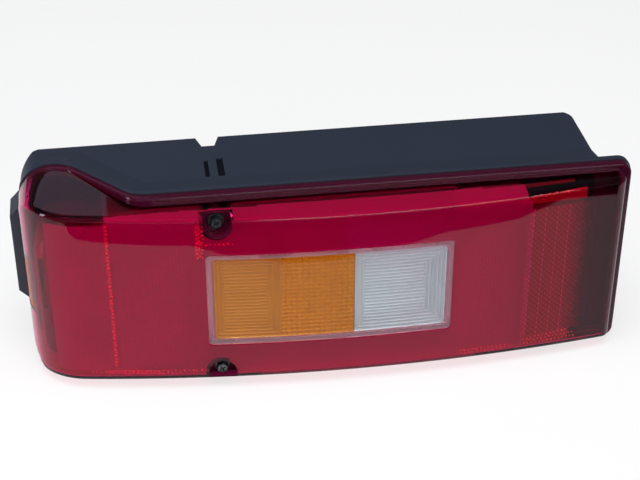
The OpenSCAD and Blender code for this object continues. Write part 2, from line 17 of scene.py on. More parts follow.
import bmesh
import bpy
import numpy as np
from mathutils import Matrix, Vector

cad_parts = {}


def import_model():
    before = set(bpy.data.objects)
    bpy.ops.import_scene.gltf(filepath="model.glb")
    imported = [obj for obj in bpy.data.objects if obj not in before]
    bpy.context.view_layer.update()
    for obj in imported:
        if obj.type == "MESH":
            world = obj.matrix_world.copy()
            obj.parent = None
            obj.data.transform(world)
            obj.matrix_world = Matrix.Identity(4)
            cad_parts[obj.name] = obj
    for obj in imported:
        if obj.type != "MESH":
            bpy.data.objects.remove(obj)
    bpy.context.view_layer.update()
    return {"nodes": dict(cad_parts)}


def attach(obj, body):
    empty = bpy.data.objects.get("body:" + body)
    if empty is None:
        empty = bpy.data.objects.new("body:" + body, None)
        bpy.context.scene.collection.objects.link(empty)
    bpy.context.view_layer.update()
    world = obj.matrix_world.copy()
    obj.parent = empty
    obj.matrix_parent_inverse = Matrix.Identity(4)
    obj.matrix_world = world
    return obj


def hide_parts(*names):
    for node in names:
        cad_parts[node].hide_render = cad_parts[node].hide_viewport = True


LOG = logging.getLogger("lamp")
MM = 0.001
SAME_PLACE_M = 2e-6
SHORT_EDGE_M = 1e-6
Array = np.ndarray
Node = bpy.types.Node
Object = bpy.types.Object
Material = bpy.types.Material
Source = tuple[Node, str | int]
Values = dict[str | int, Any]
Links = dict[str | int, Source]
Two = tuple[float, float]
Three = tuple[float, float, float]
Four = tuple[float, float, float, float]


# ---------------------------------------------------------------- colours, nodes and meshes


def linear(hex_colour: str) -> Four:
    """Turns an sRGB hex colour into linear RGBA.

    Args:
        hex_colour: six hex digits.

    Returns:
        Red, green, blue and an alpha of 1.
    """
    parts = [int(hex_colour[i : i + 2], 16) / 255 for i in (0, 2, 4)]
    return (*(c / 12.92 if c <= 0.04045 else ((c + 0.055) / 1.055) ** 2.4 for c in parts), 1.0)


def add_node(
    tree: bpy.types.NodeTree,
    kind: str,
    settings: Values | None = None,
    links: Links | None = None,
) -> Node:
    """Adds one shader node with its settings and links.

    Args:
        tree: the material's node tree.
        kind: Blender's name for the node type.
        settings: values by socket name or number, or else by the node's property name.
        links: for each input, the node and output that feed it.

    Returns:
        The new node.
    """
    node = tree.nodes.new(kind)
    for key, value in (settings or {}).items():
        if isinstance(key, int) or key in node.inputs:
            node.inputs[key].default_value = value
        else:
            setattr(node, key, value)
    for key, (source, output) in (links or {}).items():
        tree.links.new(source.outputs[output], node.inputs[key])
    return node


def grid_faces(rows: int, columns: int, start: int = 0) -> Array:
    """Quads of a grid of points that are numbered row by row.

    Args:
        rows: number of rows of points.
        columns: number of points in a row.
        start: number of the first point.

    Returns:
        An array of four point numbers for each quad.
    """
    first = start + (np.arange(rows - 1)[:, None] * columns + np.arange(columns - 1)).ravel()
    return np.stack([first, first + 1, first + columns + 1, first + columns], axis=1)


def ring_faces(a: Array, b: Array) -> Array:
    """Quads between two closed rings of point numbers of one length."""
    return np.stack([a, np.roll(a, -1), np.roll(b, -1), b], axis=1)


def tube_faces(rings: Array | list[Array]) -> list[Array]:
    """Quads between each closed ring of point numbers and the next one."""
    return [ring_faces(a, b) for a, b in zip(rings, rings[1:])]


def rounded_max(a: Array, b: Array, radius: float) -> Array:
    """The larger of two distances, with the corner where they meet rounded.

    Inside the corner's square of that radius the result is the distance to a circle's arc, and elsewhere it
    is the plain maximum.

    Args:
        a: distances to the first surface, negative inside.
        b: distances to the second.
        radius: the corner's radius.

    Returns:
        The distances to the rounded form.
    """
    arc = np.hypot(np.maximum(a + radius, 0), np.maximum(b + radius, 0)) - radius
    return np.where((a > -radius) & (b > -radius), arc, np.maximum(a, b))


def placed(name: str, data: bpy.types.ID) -> Object:
    """Puts a mesh, a camera or a light in the scene.

    Args:
        name: the object's name.
        data: what it shows.

    Returns:
        The new object, at the origin.
    """
    thing = bpy.data.objects.new(name, data)
    bpy.context.scene.collection.objects.link(thing)
    return thing


def piece_from(
    name: str, points: Array, faces: list[Array], sharp_deg: float = 35.0, kinds: Array | None = None
) -> Object:
    """Makes a closed mesh object from points in millimetres, with its faces turned outwards.

    Args:
        name: the piece's name.
        points: an array of points.
        faces: arrays of point numbers, each with faces of one size.
        sharp_deg: edges that bend more than this stay sharp in the shading.
        kinds: the material number of each face, in the order of the faces.

    Returns:
        The new object, which has no material yet.
    """
    mesh = bpy.data.meshes.new(name)
    mesh.from_pydata((points * MM).tolist(), [], [f for block in faces for f in block.tolist()])
    if kinds is not None:
        mesh.polygons.foreach_set("material_index", kinds.astype(np.int32))
    bm = bmesh.new()
    bm.from_mesh(mesh)
    bmesh.ops.remove_doubles(bm, verts=bm.verts, dist=SAME_PLACE_M)
    bmesh.ops.dissolve_degenerate(bm, edges=bm.edges, dist=SHORT_EDGE_M)
    bmesh.ops.recalc_face_normals(bm, faces=bm.faces)
    bm.to_mesh(mesh)
    bm.free()
    piece = placed(name, mesh)
    smooth(piece, sharp_deg)
    return piece


def smooth(piece: Object, sharp_deg: float) -> None:
    """Shades a piece smooth, apart from its sharp edges.

    Args:
        piece: the piece.
        sharp_deg: edges that bend more than this stay sharp.
    """
    piece.data.polygons.foreach_set("use_smooth", np.ones(len(piece.data.polygons), dtype=bool))
    piece.data.set_sharp_from_angle(angle=math.radians(sharp_deg))
    piece.data.update()


def carve(piece: Object, tools: list[tuple[Object, str]], sharp_deg: float) -> None:
    """Joins solids to a piece or cuts them out of it, in order, and removes them.

    Args:
        piece: the closed piece to change.
        tools: pairs of a closed solid and "UNION" or "DIFFERENCE".
        sharp_deg: edges that bend more than this stay sharp in the shading.
    """
    for tool, operation in tools:
        modifier = piece.modifiers.new(tool.name, "BOOLEAN")
        modifier.object, modifier.operation, modifier.solver = tool, operation, "EXACT"
    bpy.context.view_layer.update()
    graph = bpy.context.evaluated_depsgraph_get()
    carved = bpy.data.meshes.new_from_object(piece.evaluated_get(graph))
    piece.modifiers.clear()
    piece.data = carved
    for tool, _ in tools:
        bpy.data.objects.remove(tool)
    smooth(piece, sharp_deg)


def prism(name: str, outline: Array, stations: list[Two]) -> Object:
    """A solid with one outline in X and Z that is carried along Y.

    Args:
        name: the object's name.
        outline: points in X and Z, in order round the outline.
        stations: pairs of Y and the outline's offset outwards there, along its corner normals.

    Returns:
        The closed solid.
    """
    edge = np.roll(outline, -1, axis=0) - outline
    normal = np.stack([edge[:, 1], -edge[:, 0]], axis=1)
    normal /= np.linalg.norm(normal, axis=1)[:, None]
    corner = normal + np.roll(normal, 1, axis=0)
    corner /= np.maximum((corner * corner).sum(axis=1, keepdims=True) / 2, 1e-9)
    y, offset = np.array(stations, dtype=float).T[..., None]
    x, z = np.moveaxis(outline + corner * offset[..., None], -1, 0)
    points = np.stack([x, np.broadcast_to(y, x.shape), z], axis=-1)
    rings = np.arange(x.size).reshape(x.shape)
    return piece_from(name, points.reshape(-1, 3), [*tube_faces(rings), rings[:1, ::-1], rings[-1:]])


def turned(profile: Array, centre: Two, steps: int) -> tuple[Array, Array]:
    """A profile of radius and Y turned round an axis along Y: each point goes round a circle of its radius.

    Args:
        profile: pairs of radius and Y.
        centre: X and Z of the axis.
        steps: number of points round it.

    Returns:
        The points and their quads.
    """
    angle = np.arange(steps) * (2 * math.pi / steps)
    x = centre[0] + profile[:, :1] * np.cos(angle)
    z = centre[1] + profile[:, :1] * np.sin(angle)
    y = np.broadcast_to(profile[:, 1:], x.shape)
    rings = np.arange(x.size).reshape(x.shape)
    return np.stack([x, y, z], axis=-1).reshape(-1, 3), np.concatenate(tube_faces(rings))


# ---------------------------------------------------------------- finishes


class Shader:
    """A material in the making: its node tree, with the nodes that more than one finish uses.

    Every pattern lies on Object coordinates.
    """

    def __init__(self, name: str) -> None:
        """Starts an empty material.

        Args:
            name: the material's name.
        """
        self.material = bpy.data.materials.new(name)
        self.material.use_nodes = True
        self.tree = self.material.node_tree
        self.tree.nodes.clear()

    @cached_property
    def place(self) -> Source:
        """Object coordinates, made on first use."""
        return self.add("TexCoord"), "Object"

    def add(self, kind: str, settings: Values | None = None, links: Links | None = None) -> Node:
        """Adds a node to this tree, by Blender's name for its type without the first two words."""
        return add_node(self.tree, "ShaderNode" + kind, settings, links)

    def noise(self, scale: float, detail: float = 2.0) -> Source:
        """A cloudy value from 0 to 1, with that many clouds in a metre."""
        return self.add("TexNoise", {"Scale": scale, "Detail": detail}, {"Vector": self.place}), "Fac"

    def maths(self, operation: str, first: Source, second: Source) -> Source:
        """Two values put together by one operation."""
        return self.add("Math", {"operation": operation}, {0: first, 1: second}), "Value"

    def spread(self, low: float, high: float, value: Source) -> Source:
        """A value from 0 to 1, spread between two limits."""
        return self.add("MapRange", {"To Min": low, "To Max": high}, {"Value": value}), "Result"

    def blend(self, first: str, second: str, share: Source) -> Source:
        """Two sRGB hex colours, mixed by the second one's share."""
        colours = {"data_type": "RGBA", 6: linear(first), 7: linear(second)}
        return self.add("Mix", colours, {0: share}), 2

    def relief(self, strength: float, depth: float, height: Source, **links: Source) -> Source:
        """A bumpy normal from a height between 0 and 1, with its depth in metres."""
        depths = {"Strength": strength, "Distance": depth}
        return self.add("Bump", depths, {"Height": height, **links}), "Normal"

    def skin(self, settings: Values, links: Links) -> Source:
        """The surface itself, by Blender's principled shader."""
        return self.add("BsdfPrincipled", settings, links), "BSDF"

    def done(self, surface: Source) -> Material:
        """Feeds the surface to the output and gives back the finished material."""
        self.add("OutputMaterial", {}, {"Surface": surface})
        return self.material


@dataclass(frozen=True)
class ClearPlastic:
    """Injection-moulded acrylic, see-through and tinted in its depth, with a polished skin."""

    name: str
    tint: str
    roughness: float = 0.03
    ior: float = 1.36
    level: float = 0.5
    clear: float = 1.0
    waves_mm: float = 0.0
    wave_strength: float = 0.0

    def build(self) -> Material:
        """Makes the material: tinted glass that lets the lamps' light through, faintly wavy or pillowed.

        Returns:
            The new material.
        """
        make = Shader(self.name)
        flow = make.noise(45.0)
        multiply = {"data_type": "RGBA", "blend_type": "MULTIPLY", 0: 1.0, 6: linear(self.tint)}
        tint = make.add("Mix", multiply, {7: make.spread(0.93, 1.0, flow)}), 2
        if self.waves_mm:
            cells = {"Scale": 1 / (self.waves_mm * MM), "feature": "SMOOTH_F1", "Randomness": 0.15}
            pillows = make.add("TexVoronoi", cells, {"Vector": make.place}), "Distance"
            bump = make.relief(self.wave_strength, self.waves_mm * 0.12 * MM, pillows)
        else:
            bump = make.relief(0.03, 0.0002, flow)
        depth = {"IOR": self.ior, "Transmission Weight": self.clear, "Specular IOR Level": self.level}
        glass = make.skin({"Roughness": self.roughness, **depth}, {"Base Color": tint, "Normal": bump})
        root = tuple(math.sqrt(c) for c in linear(self.tint)[:3])
        through = make.add("BsdfTransparent", {"Color": (*root, 1.0)}), "BSDF"
        shadow = make.add("LightPath"), "Is Shadow Ray"
        mixed = make.add("MixShader", {}, {0: shadow, 1: glass, 2: through})
        return make.done((mixed, "Shader"))


@dataclass(frozen=True)
class MouldedPlastic:
    """Filled polymer from a spark-eroded mould: matt, with a grain of a fraction of a millimetre."""

    name: str
    colour: str
    worn: str
    roughness: float = 0.5
    grain_mm: float = 0.8
    grain_depth_mm: float = 0.03
    level: float = 0.5
    edge_mm: float = 0.6

    def build(self) -> Material:
        """Makes the material: a mottled colour, grain in relief and softened edges.

        Returns:
            The new material.
        """
        make = Shader(self.name)
        cloud = make.noise(22.0, 4.0)
        grain = make.noise(1 / (self.grain_mm * MM))
        edges = make.add("Bevel", {"samples": 6, "Radius": self.edge_mm * MM}), "Normal"
        links = {
            "Base Color": make.blend(self.colour, self.worn, cloud),
            "Roughness": make.spread(self.roughness - 0.06, self.roughness + 0.08, cloud),
            "Normal": make.relief(0.5, self.grain_depth_mm * MM, grain, Normal=edges),
        }
        return make.done(make.skin({"Specular IOR Level": self.level}, links))


@dataclass(frozen=True)
class Metal:
    """Plated, drawn or vacuum-coated metal: mirror-like under a fine haze, a little uneven."""

    name: str
    colour: str
    dull: str
    roughness: float = 0.3
    streak_mm: float = 3.0
    relief_mm: float = 0.02

    def build(self) -> Material:
        """Makes the material: a metal whose colour and polish vary over a few millimetres.

        Returns:
            The new material.
        """
        make = Shader(self.name)
        cloud = make.noise(1 / (self.streak_mm * MM), 3.0)
        links = {
            "Base Color": make.blend(self.colour, self.dull, cloud),
            "Roughness": make.spread(self.roughness - 0.05, self.roughness + 0.1, cloud),
            "Normal": make.relief(0.3, self.relief_mm * MM, cloud),
        }
        return make.done(make.skin({"Metallic": 1.0}, links))


@dataclass(frozen=True)
class ReflexPrisms:
    """Red acrylic cube-corner reflector: rows of tiny prisms that cross on the diagonal and wink in part."""

    name: str
    colour: str
    dark: str
    pitch_mm: float = 2.6
    roughness: float = 0.25
    plain: str = "2A1424"
    fade_mm: Two = (165.0, 182.0)
    ragged_mm: float = 16.0

    def build(self) -> Material:
        """Makes the material: two sets of diagonal ridges, drawn coarser than the real ones.

        Towards the inner end they give way to a plain dark red, over a ragged border.

        Returns:
            The new material.
        """
        make = Shader(self.name)
        bands = {
            "wave_type": "BANDS",
            "bands_direction": "X",
            "wave_profile": "TRI",
            "Scale": 0.314 / (self.pitch_mm * MM) / 2,
            "Distortion": 0.0,
        }
        ridges = []
        for turn in (-45.0, 45.0):
            rotation = {"Rotation": (0.0, math.radians(turn), 0.0)}
            across = make.add("Mapping", rotation, {"Vector": make.place}), "Vector"
            ridges.append((make.add("TexWave", bands, {"Vector": across}), "Fac"))
        crossed = make.maths("MULTIPLY", *ridges)
        along = make.add("SeparateXYZ", {}, {"Vector": make.place}), "X"
        ragged = {"operation": "MULTIPLY_ADD", 1: self.ragged_mm * MM, 2: -self.ragged_mm * MM / 2}
        shift = make.add("Math", ragged, {0: make.noise(420.0)}), "Value"
        limits = {"From Min": self.fade_mm[0] * MM, "From Max": self.fade_mm[1] * MM}
        border = make.add("MapRange", limits, {"Value": make.maths("ADD", along, shift)}), "Result"
        colours = {0: border, 6: make.blend(self.dark, self.colour, crossed)}
        faded = make.add("Mix", {"data_type": "RGBA", 7: linear(self.plain)}, colours), 2
        bump = make.relief(0.8, self.pitch_mm * 0.3 * MM, crossed)
        links = {"Base Color": faded, "Normal": bump}
        return make.done(make.skin({"Roughness": self.roughness, "IOR": 1.49}, links))


class Finish(Enum):
    """The finishes of the lamp, each named for what the real one is."""

    # Red acrylic, polished mould: dark over the black tub, bright over the silvered trays.
    RED_ACRYLIC = ClearPlastic("red_acrylic", "C61A68")
    # The same acrylic with moulded pillow optics inside, which blur what lies behind.
    PILLOWED_ACRYLIC = ClearPlastic(
        "pillowed_red_acrylic", "CE1C86", 0.6, clear=0.55, waves_mm=2.4, wave_strength=0.3
    )
    # The same acrylic in the thick lip, the wells and the inner end, which looks nearly black.
    THICK_ACRYLIC = ClearPlastic("thick_red_acrylic", "52102F", 0.14, clear=0.5)
    # Clear acrylic frame of the window, tinted faintly pink as painted light: the red that the lens round it
    # throws on it.
    FRAME_ACRYLIC = ClearPlastic("frame_acrylic", "E4BCC8", 0.12, clear=0.85)
    # Amber acrylic, polished outside.
    AMBER_ACRYLIC = ClearPlastic("amber_acrylic", "ECC484", 0.04)
    # The same acrylic where flutes and beads are moulded inside, whose slopes catch the light.
    AMBER_OPTIC = ClearPlastic("fluted_amber_acrylic", "C8984A", 0.3, clear=0.45)
    # The same acrylic in the deeper half, moulded with beads.
    AMBER_BEADS = ClearPlastic("beaded_amber_acrylic", "CC9412", 0.22, clear=0.4)
    # Deeper amber acrylic of the side marker, ribbed inside.
    MARKER_ACRYLIC = ClearPlastic("marker_amber_acrylic", "C8501E", 0.3, level=0.15, clear=0.3)
    # Clear acrylic, polished outside.
    CLEAR_ACRYLIC = ClearPlastic("clear_acrylic", "F2F8FA", 0.04)
    # The same acrylic where flutes are moulded inside.
    CLEAR_OPTIC = ClearPlastic("fluted_clear_acrylic", "BCC4CA", 0.3, clear=0.45)
    # Bulb glass, thin and smooth.
    BULB_GLASS = ClearPlastic("bulb_glass", "F4F6F6", 0.02, 1.5)
    # Lacquered amber bulb glass.
    AMBER_GLASS = ClearPlastic("amber_lacquered_glass", "F08A1E", 0.05, 1.5)
    # Black polypropylene tub: a fine matt grain under a soft sheen, a little dusty.
    BLACK_TUB = MouldedPlastic("black_polypropylene", "272C39", "2B303D", 0.48, level=0.5)
    # White nylon lamp holders.
    NYLON = MouldedPlastic("white_nylon", "D8D4C8", "C6C1B2", 0.45, 1.2, 0.02)
    # Black nylon socket, glossier than the tub.
    BLACK_NYLON = MouldedPlastic("black_nylon", "0C0D0F", "15171A", 0.38, 0.6, 0.015)
    # EPDM rubber of the seals and the vent.
    RUBBER = MouldedPlastic("epdm_rubber", "0A0A0B", "141415", 0.72, 0.5, 0.02)
    # Vacuum-silvered polystyrene of the trays.
    SILVERED = Metal("silvered_polystyrene", "EDEDEE", "DADBDD", 0.34, 6.0, 0.08)
    # Zinc-plated steel of the lens screws.
    ZINC = Metal("zinc_plated_steel", "6E7478", "3C4044", 0.3, 1.5, 0.03)
    # Zinc-plated steel of the studs, duller.
    STUD_STEEL = Metal("stud_steel", "A2A5A6", "7B7F82", 0.38, 2.0, 0.03)
    # Nickel-plated brass of the bulb caps.
    CAP_BRASS = Metal("nickelled_brass", "B9B3A4", "9C9483", 0.3, 2.0, 0.02)
    # Rolled brass of the contact strips and pins.
    STRIP_BRASS = Metal("rolled_brass", "C8A14E", "A37F38", 0.35, 3.0, 0.02)
    # Red reflector prisms.
    REFLEX = ReflexPrisms("reflex_prisms", "F02C98", "8C1A68", 1.5, 0.35)
    # Painted shade: near-black sheets laid on the floors of the slits' recesses, where in the real tub no
    # light reaches.
    PAINTED_SLIT_SHADE = MouldedPlastic("painted_slit_shade_black", "0B0D12", "0E1016", 0.7, level=0.2, edge_mm=0.02)
    # Black cloth of the studio flag.
    FLAG_CLOTH = MouldedPlastic("flag_cloth", "0A0A0B", "101011", 0.9, 1.0, 0.1, level=0.1)
    # Ends of the lens's prisms along the seams: solid beads whose bright red is a painted glint, in place of
    # the light that the prism ends gather.
    PAINTED_GLINT_BEAD = MouldedPlastic("painted_glint_beads", "FF5C84", "E8386C", 0.18, 2.0, 0.0, edge_mm=0.05)
    # Edges of the lens's ledges and baffles, with painted light: a bright red that stands in for light inside
    # the acrylic.
    PAINTED_LIT_LEDGE = MouldedPlastic("painted_lit_ledge", "C82880", "B41E6C", 0.3, 2.0, 0.0, edge_mm=0.05)
    # The same ledges with painted shade: a darker copy of that red, where less light gets to.
    PAINTED_DIM_LEDGE = MouldedPlastic("painted_dim_ledge", "7C2058", "641848", 0.4, 2.0, 0.0, edge_mm=0.05)
    # Strips of the lens's inside between two fields of prisms, with painted light: a clear bright red that
    # stands in for the light that shines there.
    PAINTED_LIT_STRIP = MouldedPlastic("painted_lit_seam_strip", "DC1870", "B81058", 0.3, 2.0, 0.0, edge_mm=0.05)

    def material(self) -> Material:
        """The Blender material of this finish, made on first use."""
        return bpy.data.materials.get(self.value.name) or self.value.build()


def kinds_of(piece: Object) -> Array:
    """Reads which material each face of a piece has.

    Args:
        piece: the piece.

    Returns:
        The material number of each face.
    """
    kinds = np.zeros(len(piece.data.polygons), dtype=np.int32)
    piece.data.polygons.foreach_get("material_index", kinds)
    return kinds


def dress(piece: Object, *finishes: Finish) -> None:
    """Puts finishes in a piece's material slots in place of what it has, and keeps its faces' numbers.

    Args:
        piece: the piece.
        finishes: its finishes, in the order of the faces' numbers.
    """
    kinds = kinds_of(piece)
    piece.data.materials.clear()
    for finish in finishes:
        piece.data.materials.append(finish.material())
    piece.data.polygons.foreach_set("material_index", np.minimum(kinds, len(finishes) - 1))


def mount(piece: Object, slot: str, *nodes: str) -> Object:
    """Rides a piece on the lamp's one body and hides the CAD nodes that it replaces.

    Args:
        piece: the finished piece.
        slot: its material slot; not used.
        nodes: the CAD nodes whose place it takes.

    Returns:
        The same piece.
    """
    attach(piece, "root")
    if nodes:
        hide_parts(*nodes)
    LOG.info("%s: %d faces", piece.name, len(piece.data.polygons))
    return piece


# ---------------------------------------------------------------- the lens


@dataclass
class Lens:
    """The bowed red lens, wrapped round the outer end, with its lip, two screw wells and two openings."""

    # The outline and the joint with the tub.
    x_out: float = -214.5
    x_in: float = 214.5
    half_height: float = 76.2
    outer_corner: float = 24.0
    inner_corner: float = 10.0
    joint_y: float = -80.0
    joint_y_out: float = -30.0
    step_x1: float = -135.0
    step_x2: float = -180.0
    joint_bend: float = 22.0
    # The bowed face, its ends and its sloped long walls.
    face_y: float = -111.0
    bow_x: float = 25.0
    bow_radius: float = 1150.0
    wrap_radius: float = 44.0
    turn_radius: float = 7.0
    lens_x_in: float = 208.0
    face_half: float = 67.0
    slope: float = 0.1
    wall: float = 2.6
    edge_soft: float = 3.2
    inner_soft: float = 1.2
    # The lip and the foot: pairs of the inset from the outline and the place in front of the joint.
    lip_depth: float = 6.5
    foot_depth: float = 4.0
    lip: tuple[Two, ...] = (
        (2.6, -6.5), (1.9, -6.45), (1.3, -6.1), (1.0, -5.4), (1.0, -0.5), (1.2, -0.1), (1.5, 0.0),
    )
    foot: tuple[Two, ...] = ((8.6, 0.0), (8.6, -4.2))
    # The wells of the screws, each a U that is open to the long wall, in a cup of its own wall.
    screw_x: float = -81.0
    screw_z: float = 61.6
    well_radius: float = 9.5
    well_top: float = 90.0
    well_steps: tuple[Two, ...] = (
        (-97.0, -0.6), (-97.6, 0.0), (-104.6, 0.0), (-105.6, 0.3), (-122.0, 5.3),
    )
    cup_wall: float = 2.2
    cup_top: float = 66.4
    cup_y: Two = (-94.0, -104.0)
    hole_radius: float = 2.7
    hole_y: Two = (-99.0, -92.0)
    stay_x: Two = (-120.0, -40.0)
    stay_z: float = -110.0
    wall_stays: tuple[tuple[str, float, float, float], ...] = (
        ("wall_back", 67.4, -90.0, -101.5), ("wall_front", 66.2, -101.4, -130.0),
    )
    # The openings: the window's X and Z limits and the side marker's Y limits and half height.
    window: Four = (-90.0, 83.0, -38.0, 38.0)
    window_corner: float = 3.0
    window_y: Two = (-98.0, -120.0)
    marker: Three = (-66.0, -36.0, 21.0)
    marker_x: Two = (-217.0, -200.5)
    # The rays' starts along X, the numbers of rays, and which faces are pillowed or thick.
    spine: Four = (-200.0, -176.0, 188.0, 203.0)
    fan_counts: tuple[int, int, int] = (30, 110, 18)
    step_counts: tuple[int, int, int] = (17, 8, 10)
    ray_length: float = 420.0
    halvings: int = 46
    edge_reach: float = 6.0
    pillows: Four = (-196.0, -156.0, 134.0, 139.5)
    pillow_y: float = -92.0
    flat_margin: float = 5.5
    wall_margin: float = 6.5
    turn_x: float = 203.6
    sharp_deg: float = 40.0

    def bow_centre_y(self) -> float:
        """Y of the bow's centre."""
        return self.face_y + self.bow_radius

    def face_at(self, x: Array | float, depth: float = 0.0) -> Array:
        """Y of the bowed front at X: the circle of the bow, less a depth behind it."""
        reach = (self.bow_radius - depth) ** 2 - (np.asarray(x) - self.bow_x) ** 2
        return self.bow_centre_y() - np.sqrt(reach)

    def joint_at(self, x: Array) -> Array:
        """Y of the joint with the tub: level, a slope with an arc at each end, and level again.

        Args:
            x: places along the joint.

        Returns:
            Y at each place.
        """
        angle = math.atan2(self.joint_y_out - self.joint_y, self.step_x1 - self.step_x2)
        reach = self.joint_bend * math.tan(angle / 2)
        turn = np.linspace(0, angle, 9)
        arc = np.stack([-np.sin(turn), 1 - np.cos(turn)], axis=1) * self.joint_bend
        near = arc + [self.step_x1 + reach, self.joint_y]
        far = (-arc + [self.step_x2 - reach, self.joint_y_out])[::-1]
        line = np.concatenate([near, far])[::-1]
        return np.interp(x, line[:, 0], line[:, 1])

    def plan_distance(self, points: Array, inset: float) -> Array:
        """Distance to the lens seen from above: the bow, and past each tangent a circle and a straight end.

        Args:
            points: the points to measure.
            inset: how far the form is set in.

        Returns:
            The distances, negative inside.
        """
        x, y = points[..., 0], points[..., 1]
        by = self.bow_centre_y()
        out_x = self.x_out + self.wrap_radius
        out_y = by - math.sqrt((self.bow_radius - self.wrap_radius) ** 2 - (out_x - self.bow_x) ** 2)
        in_x = self.lens_x_in - self.turn_radius
        in_y = by - math.sqrt((self.bow_radius - self.turn_radius) ** 2 - (in_x - self.bow_x) ** 2)
        heading = (x - self.bow_x) / (by - y)
        bow = np.hypot(x - self.bow_x, y - by) - self.bow_radius
        wrap = np.where(y < out_y, np.hypot(x - out_x, y - out_y) - self.wrap_radius, self.x_out - x)
        turn = np.where(y < in_y, np.hypot(x - in_x, y - in_y) - self.turn_radius, x - self.lens_x_in)
        far = np.where(heading < (out_x - self.bow_x) / (by - out_y), wrap, bow)
        return np.where(heading > (in_x - self.bow_x) / (by - in_y), turn, far) + inset

    def outline_distance(self, points: Array, inset: float, x_in: float) -> Array:
        """Distance to the rounded rectangle seen from the front, with one corner radius at each end.

        Args:
            points: the points to measure.
            inset: how far the form is set in.
            x_in: X of its inner end.

        Returns:
            The distances, negative inside.
        """
        x, z = points[..., 0], points[..., 2]
        low, high = self.x_out + inset, x_in - inset
        middle, half = (low + high) / 2, (high - low) / 2
        radius = np.where(x < middle, self.outer_corner, self.inner_corner) - inset
        qx = np.abs(x - middle) - half + radius
        qz = np.abs(z) - (self.half_height - inset) + radius
        corner = np.hypot(np.maximum(qx, 0), np.maximum(qz, 0))
        return corner + np.minimum(np.maximum(qx, qz), 0) - radius

    def skin_distance(self, points: Array, inset: float, soft: float) -> Array:
        """Distance to the lens's skin: plan and outline, met by the sloped long walls in a rounded edge.

        Args:
            points: the points to measure.
            inset: how far the form is set in.
            soft: radius of the edge.

        Returns:
            The distances, negative inside.
        """
        outline = self.outline_distance(points, inset, self.lens_x_in)
        ends = np.maximum(self.plan_distance(points, inset), outline)
        height = self.face_half - inset + self.slope * (points[..., 1] - self.face_y)
        return rounded_max(ends, (np.abs(points[..., 2]) - height) / math.hypot(1, self.slope), soft)

    def cast(self, starts: Array, ways: Array, distance: Callable[..., Array], *sizes: float) -> Array:
        """Where rays leave a solid: each ray's length is halved in on the point where the distance is zero.

        Args:
            starts: a point inside the solid for each ray.
            ways: the rays' unit vectors.
            distance: the solid's distance function.
            sizes: what the function takes after the points.

        Returns:
            The point where each ray leaves.
        """
        low, high = np.zeros(starts.shape[:-1]), np.full(starts.shape[:-1], self.ray_length)
        for _ in range(self.halvings):
            middle = (low + high) / 2
            inside = distance(starts + ways * middle[..., None], *sizes) < 0
            low, high = np.where(inside, middle, low), np.where(inside, high, middle)
        return starts + ways * low[..., None]

    def columns(self, shift: float) -> tuple[Array, Array]:
        """Where the rays of each column start, and their way seen from above.

        The starts run along the joint, and the ways turn through a right angle at each end.

        Args:
            shift: how far the starts lie from the joint along Y.

        Returns:
            The starts and the ways.
        """
        a, b, c, d = self.spine
        fan_out, middle, fan_in = (np.linspace(*ends) for ends in zip((0, b, 0), (1, c, 1), self.fan_counts))
        x = np.concatenate([a + (b - a) * fan_out, middle[1:-1], c + (d - c) * fan_in])
        turn = np.concatenate([fan_out - 1, np.zeros(len(middle) - 2), fan_in]) * (math.pi / 2)
        flat = np.zeros_like(x)
        starts = np.stack([x, self.joint_at(x) + shift, flat], axis=1)
        return starts, np.stack([np.sin(turn), -np.cos(turn), flat], axis=1)

    def skin(self, inset: float, shift: float, soft: float) -> tuple[Array, Array, Array]:
        """The skin as a grid of ray hits, with one fan of rays for each column.

        The fan's rays aim at even steps up the face, round its edge and back along the long wall.

        Args:
            inset: distance behind the lens's outside.
            shift: distance of its rim in front of the joint.
            soft: radius of the edge between the face and the long walls.

        Returns:
            The points, and the starts and ways of the rays, each by column and row.
        """
        starts, flat = self.columns(shift)
        reach = self.cast(starts, flat, self.plan_distance, inset)
        depth = np.linalg.norm(reach - starts, axis=1)[:, None]
        top = (self.face_half - inset + self.slope * (reach[:, 1] - self.face_y))[:, None]
        bend = np.minimum(self.edge_reach, 0.5 * depth)
        s, e, w = (np.linspace(0, 1, count) for count in self.step_counts)
        e, w = e[1:], w[1:]
        z = np.concatenate([(top - bend) * s, top - bend + bend * e, top + 0 * e, top + 0 * w], axis=1)
        r = np.concatenate([depth + 0 * s, depth + 0 * e, depth - bend * e, (depth - bend) * (1 - w)], axis=1)
        tilt = np.arctan2(z, r)
        tilt = np.concatenate([-tilt[:, :0:-1], tilt], axis=1)[..., None]
        ways = np.cos(tilt) * flat[:, None, :] + np.sin(tilt) * np.array([0.0, 0.0, 1.0])
        origins = np.broadcast_to(starts[:, None, :], ways.shape)
        return self.cast(origins, ways, self.skin_distance, inset, soft), origins, ways

    def rim_order(self, shape: tuple[int, int]) -> Array:
        """Numbers of the grid's border points, in order round it."""
        grid = np.arange(shape[0] * shape[1]).reshape(shape)
        return np.concatenate([grid[:, -1], grid[-1, -2::-1], grid[-2::-1, 0], grid[0, 1:-1]])

    def inner_kinds(self, middle: Array) -> Array:
        """Which faces of the inner skin are pillowed (1) or thick (2).

        Args:
            middle: the faces' middles.

        Returns:
            The material number of each.
        """
        x, y, z = middle.T
        within = self.skin_distance(middle, 0.0, 0.01) < 0
        flat = within & (np.abs(z) < self.face_half - self.flat_margin)
        pillowed = flat & (x < self.pillows[3]) & (x > self.pillows[0])
        wall = (np.abs(z) > self.face_half - self.wall_margin) & (y < self.pillow_y)
        spread = wall & (x > self.pillows[1]) & (x < self.pillows[2])
        return np.where(x > self.turn_x - 1.0, 2, pillowed | spread)

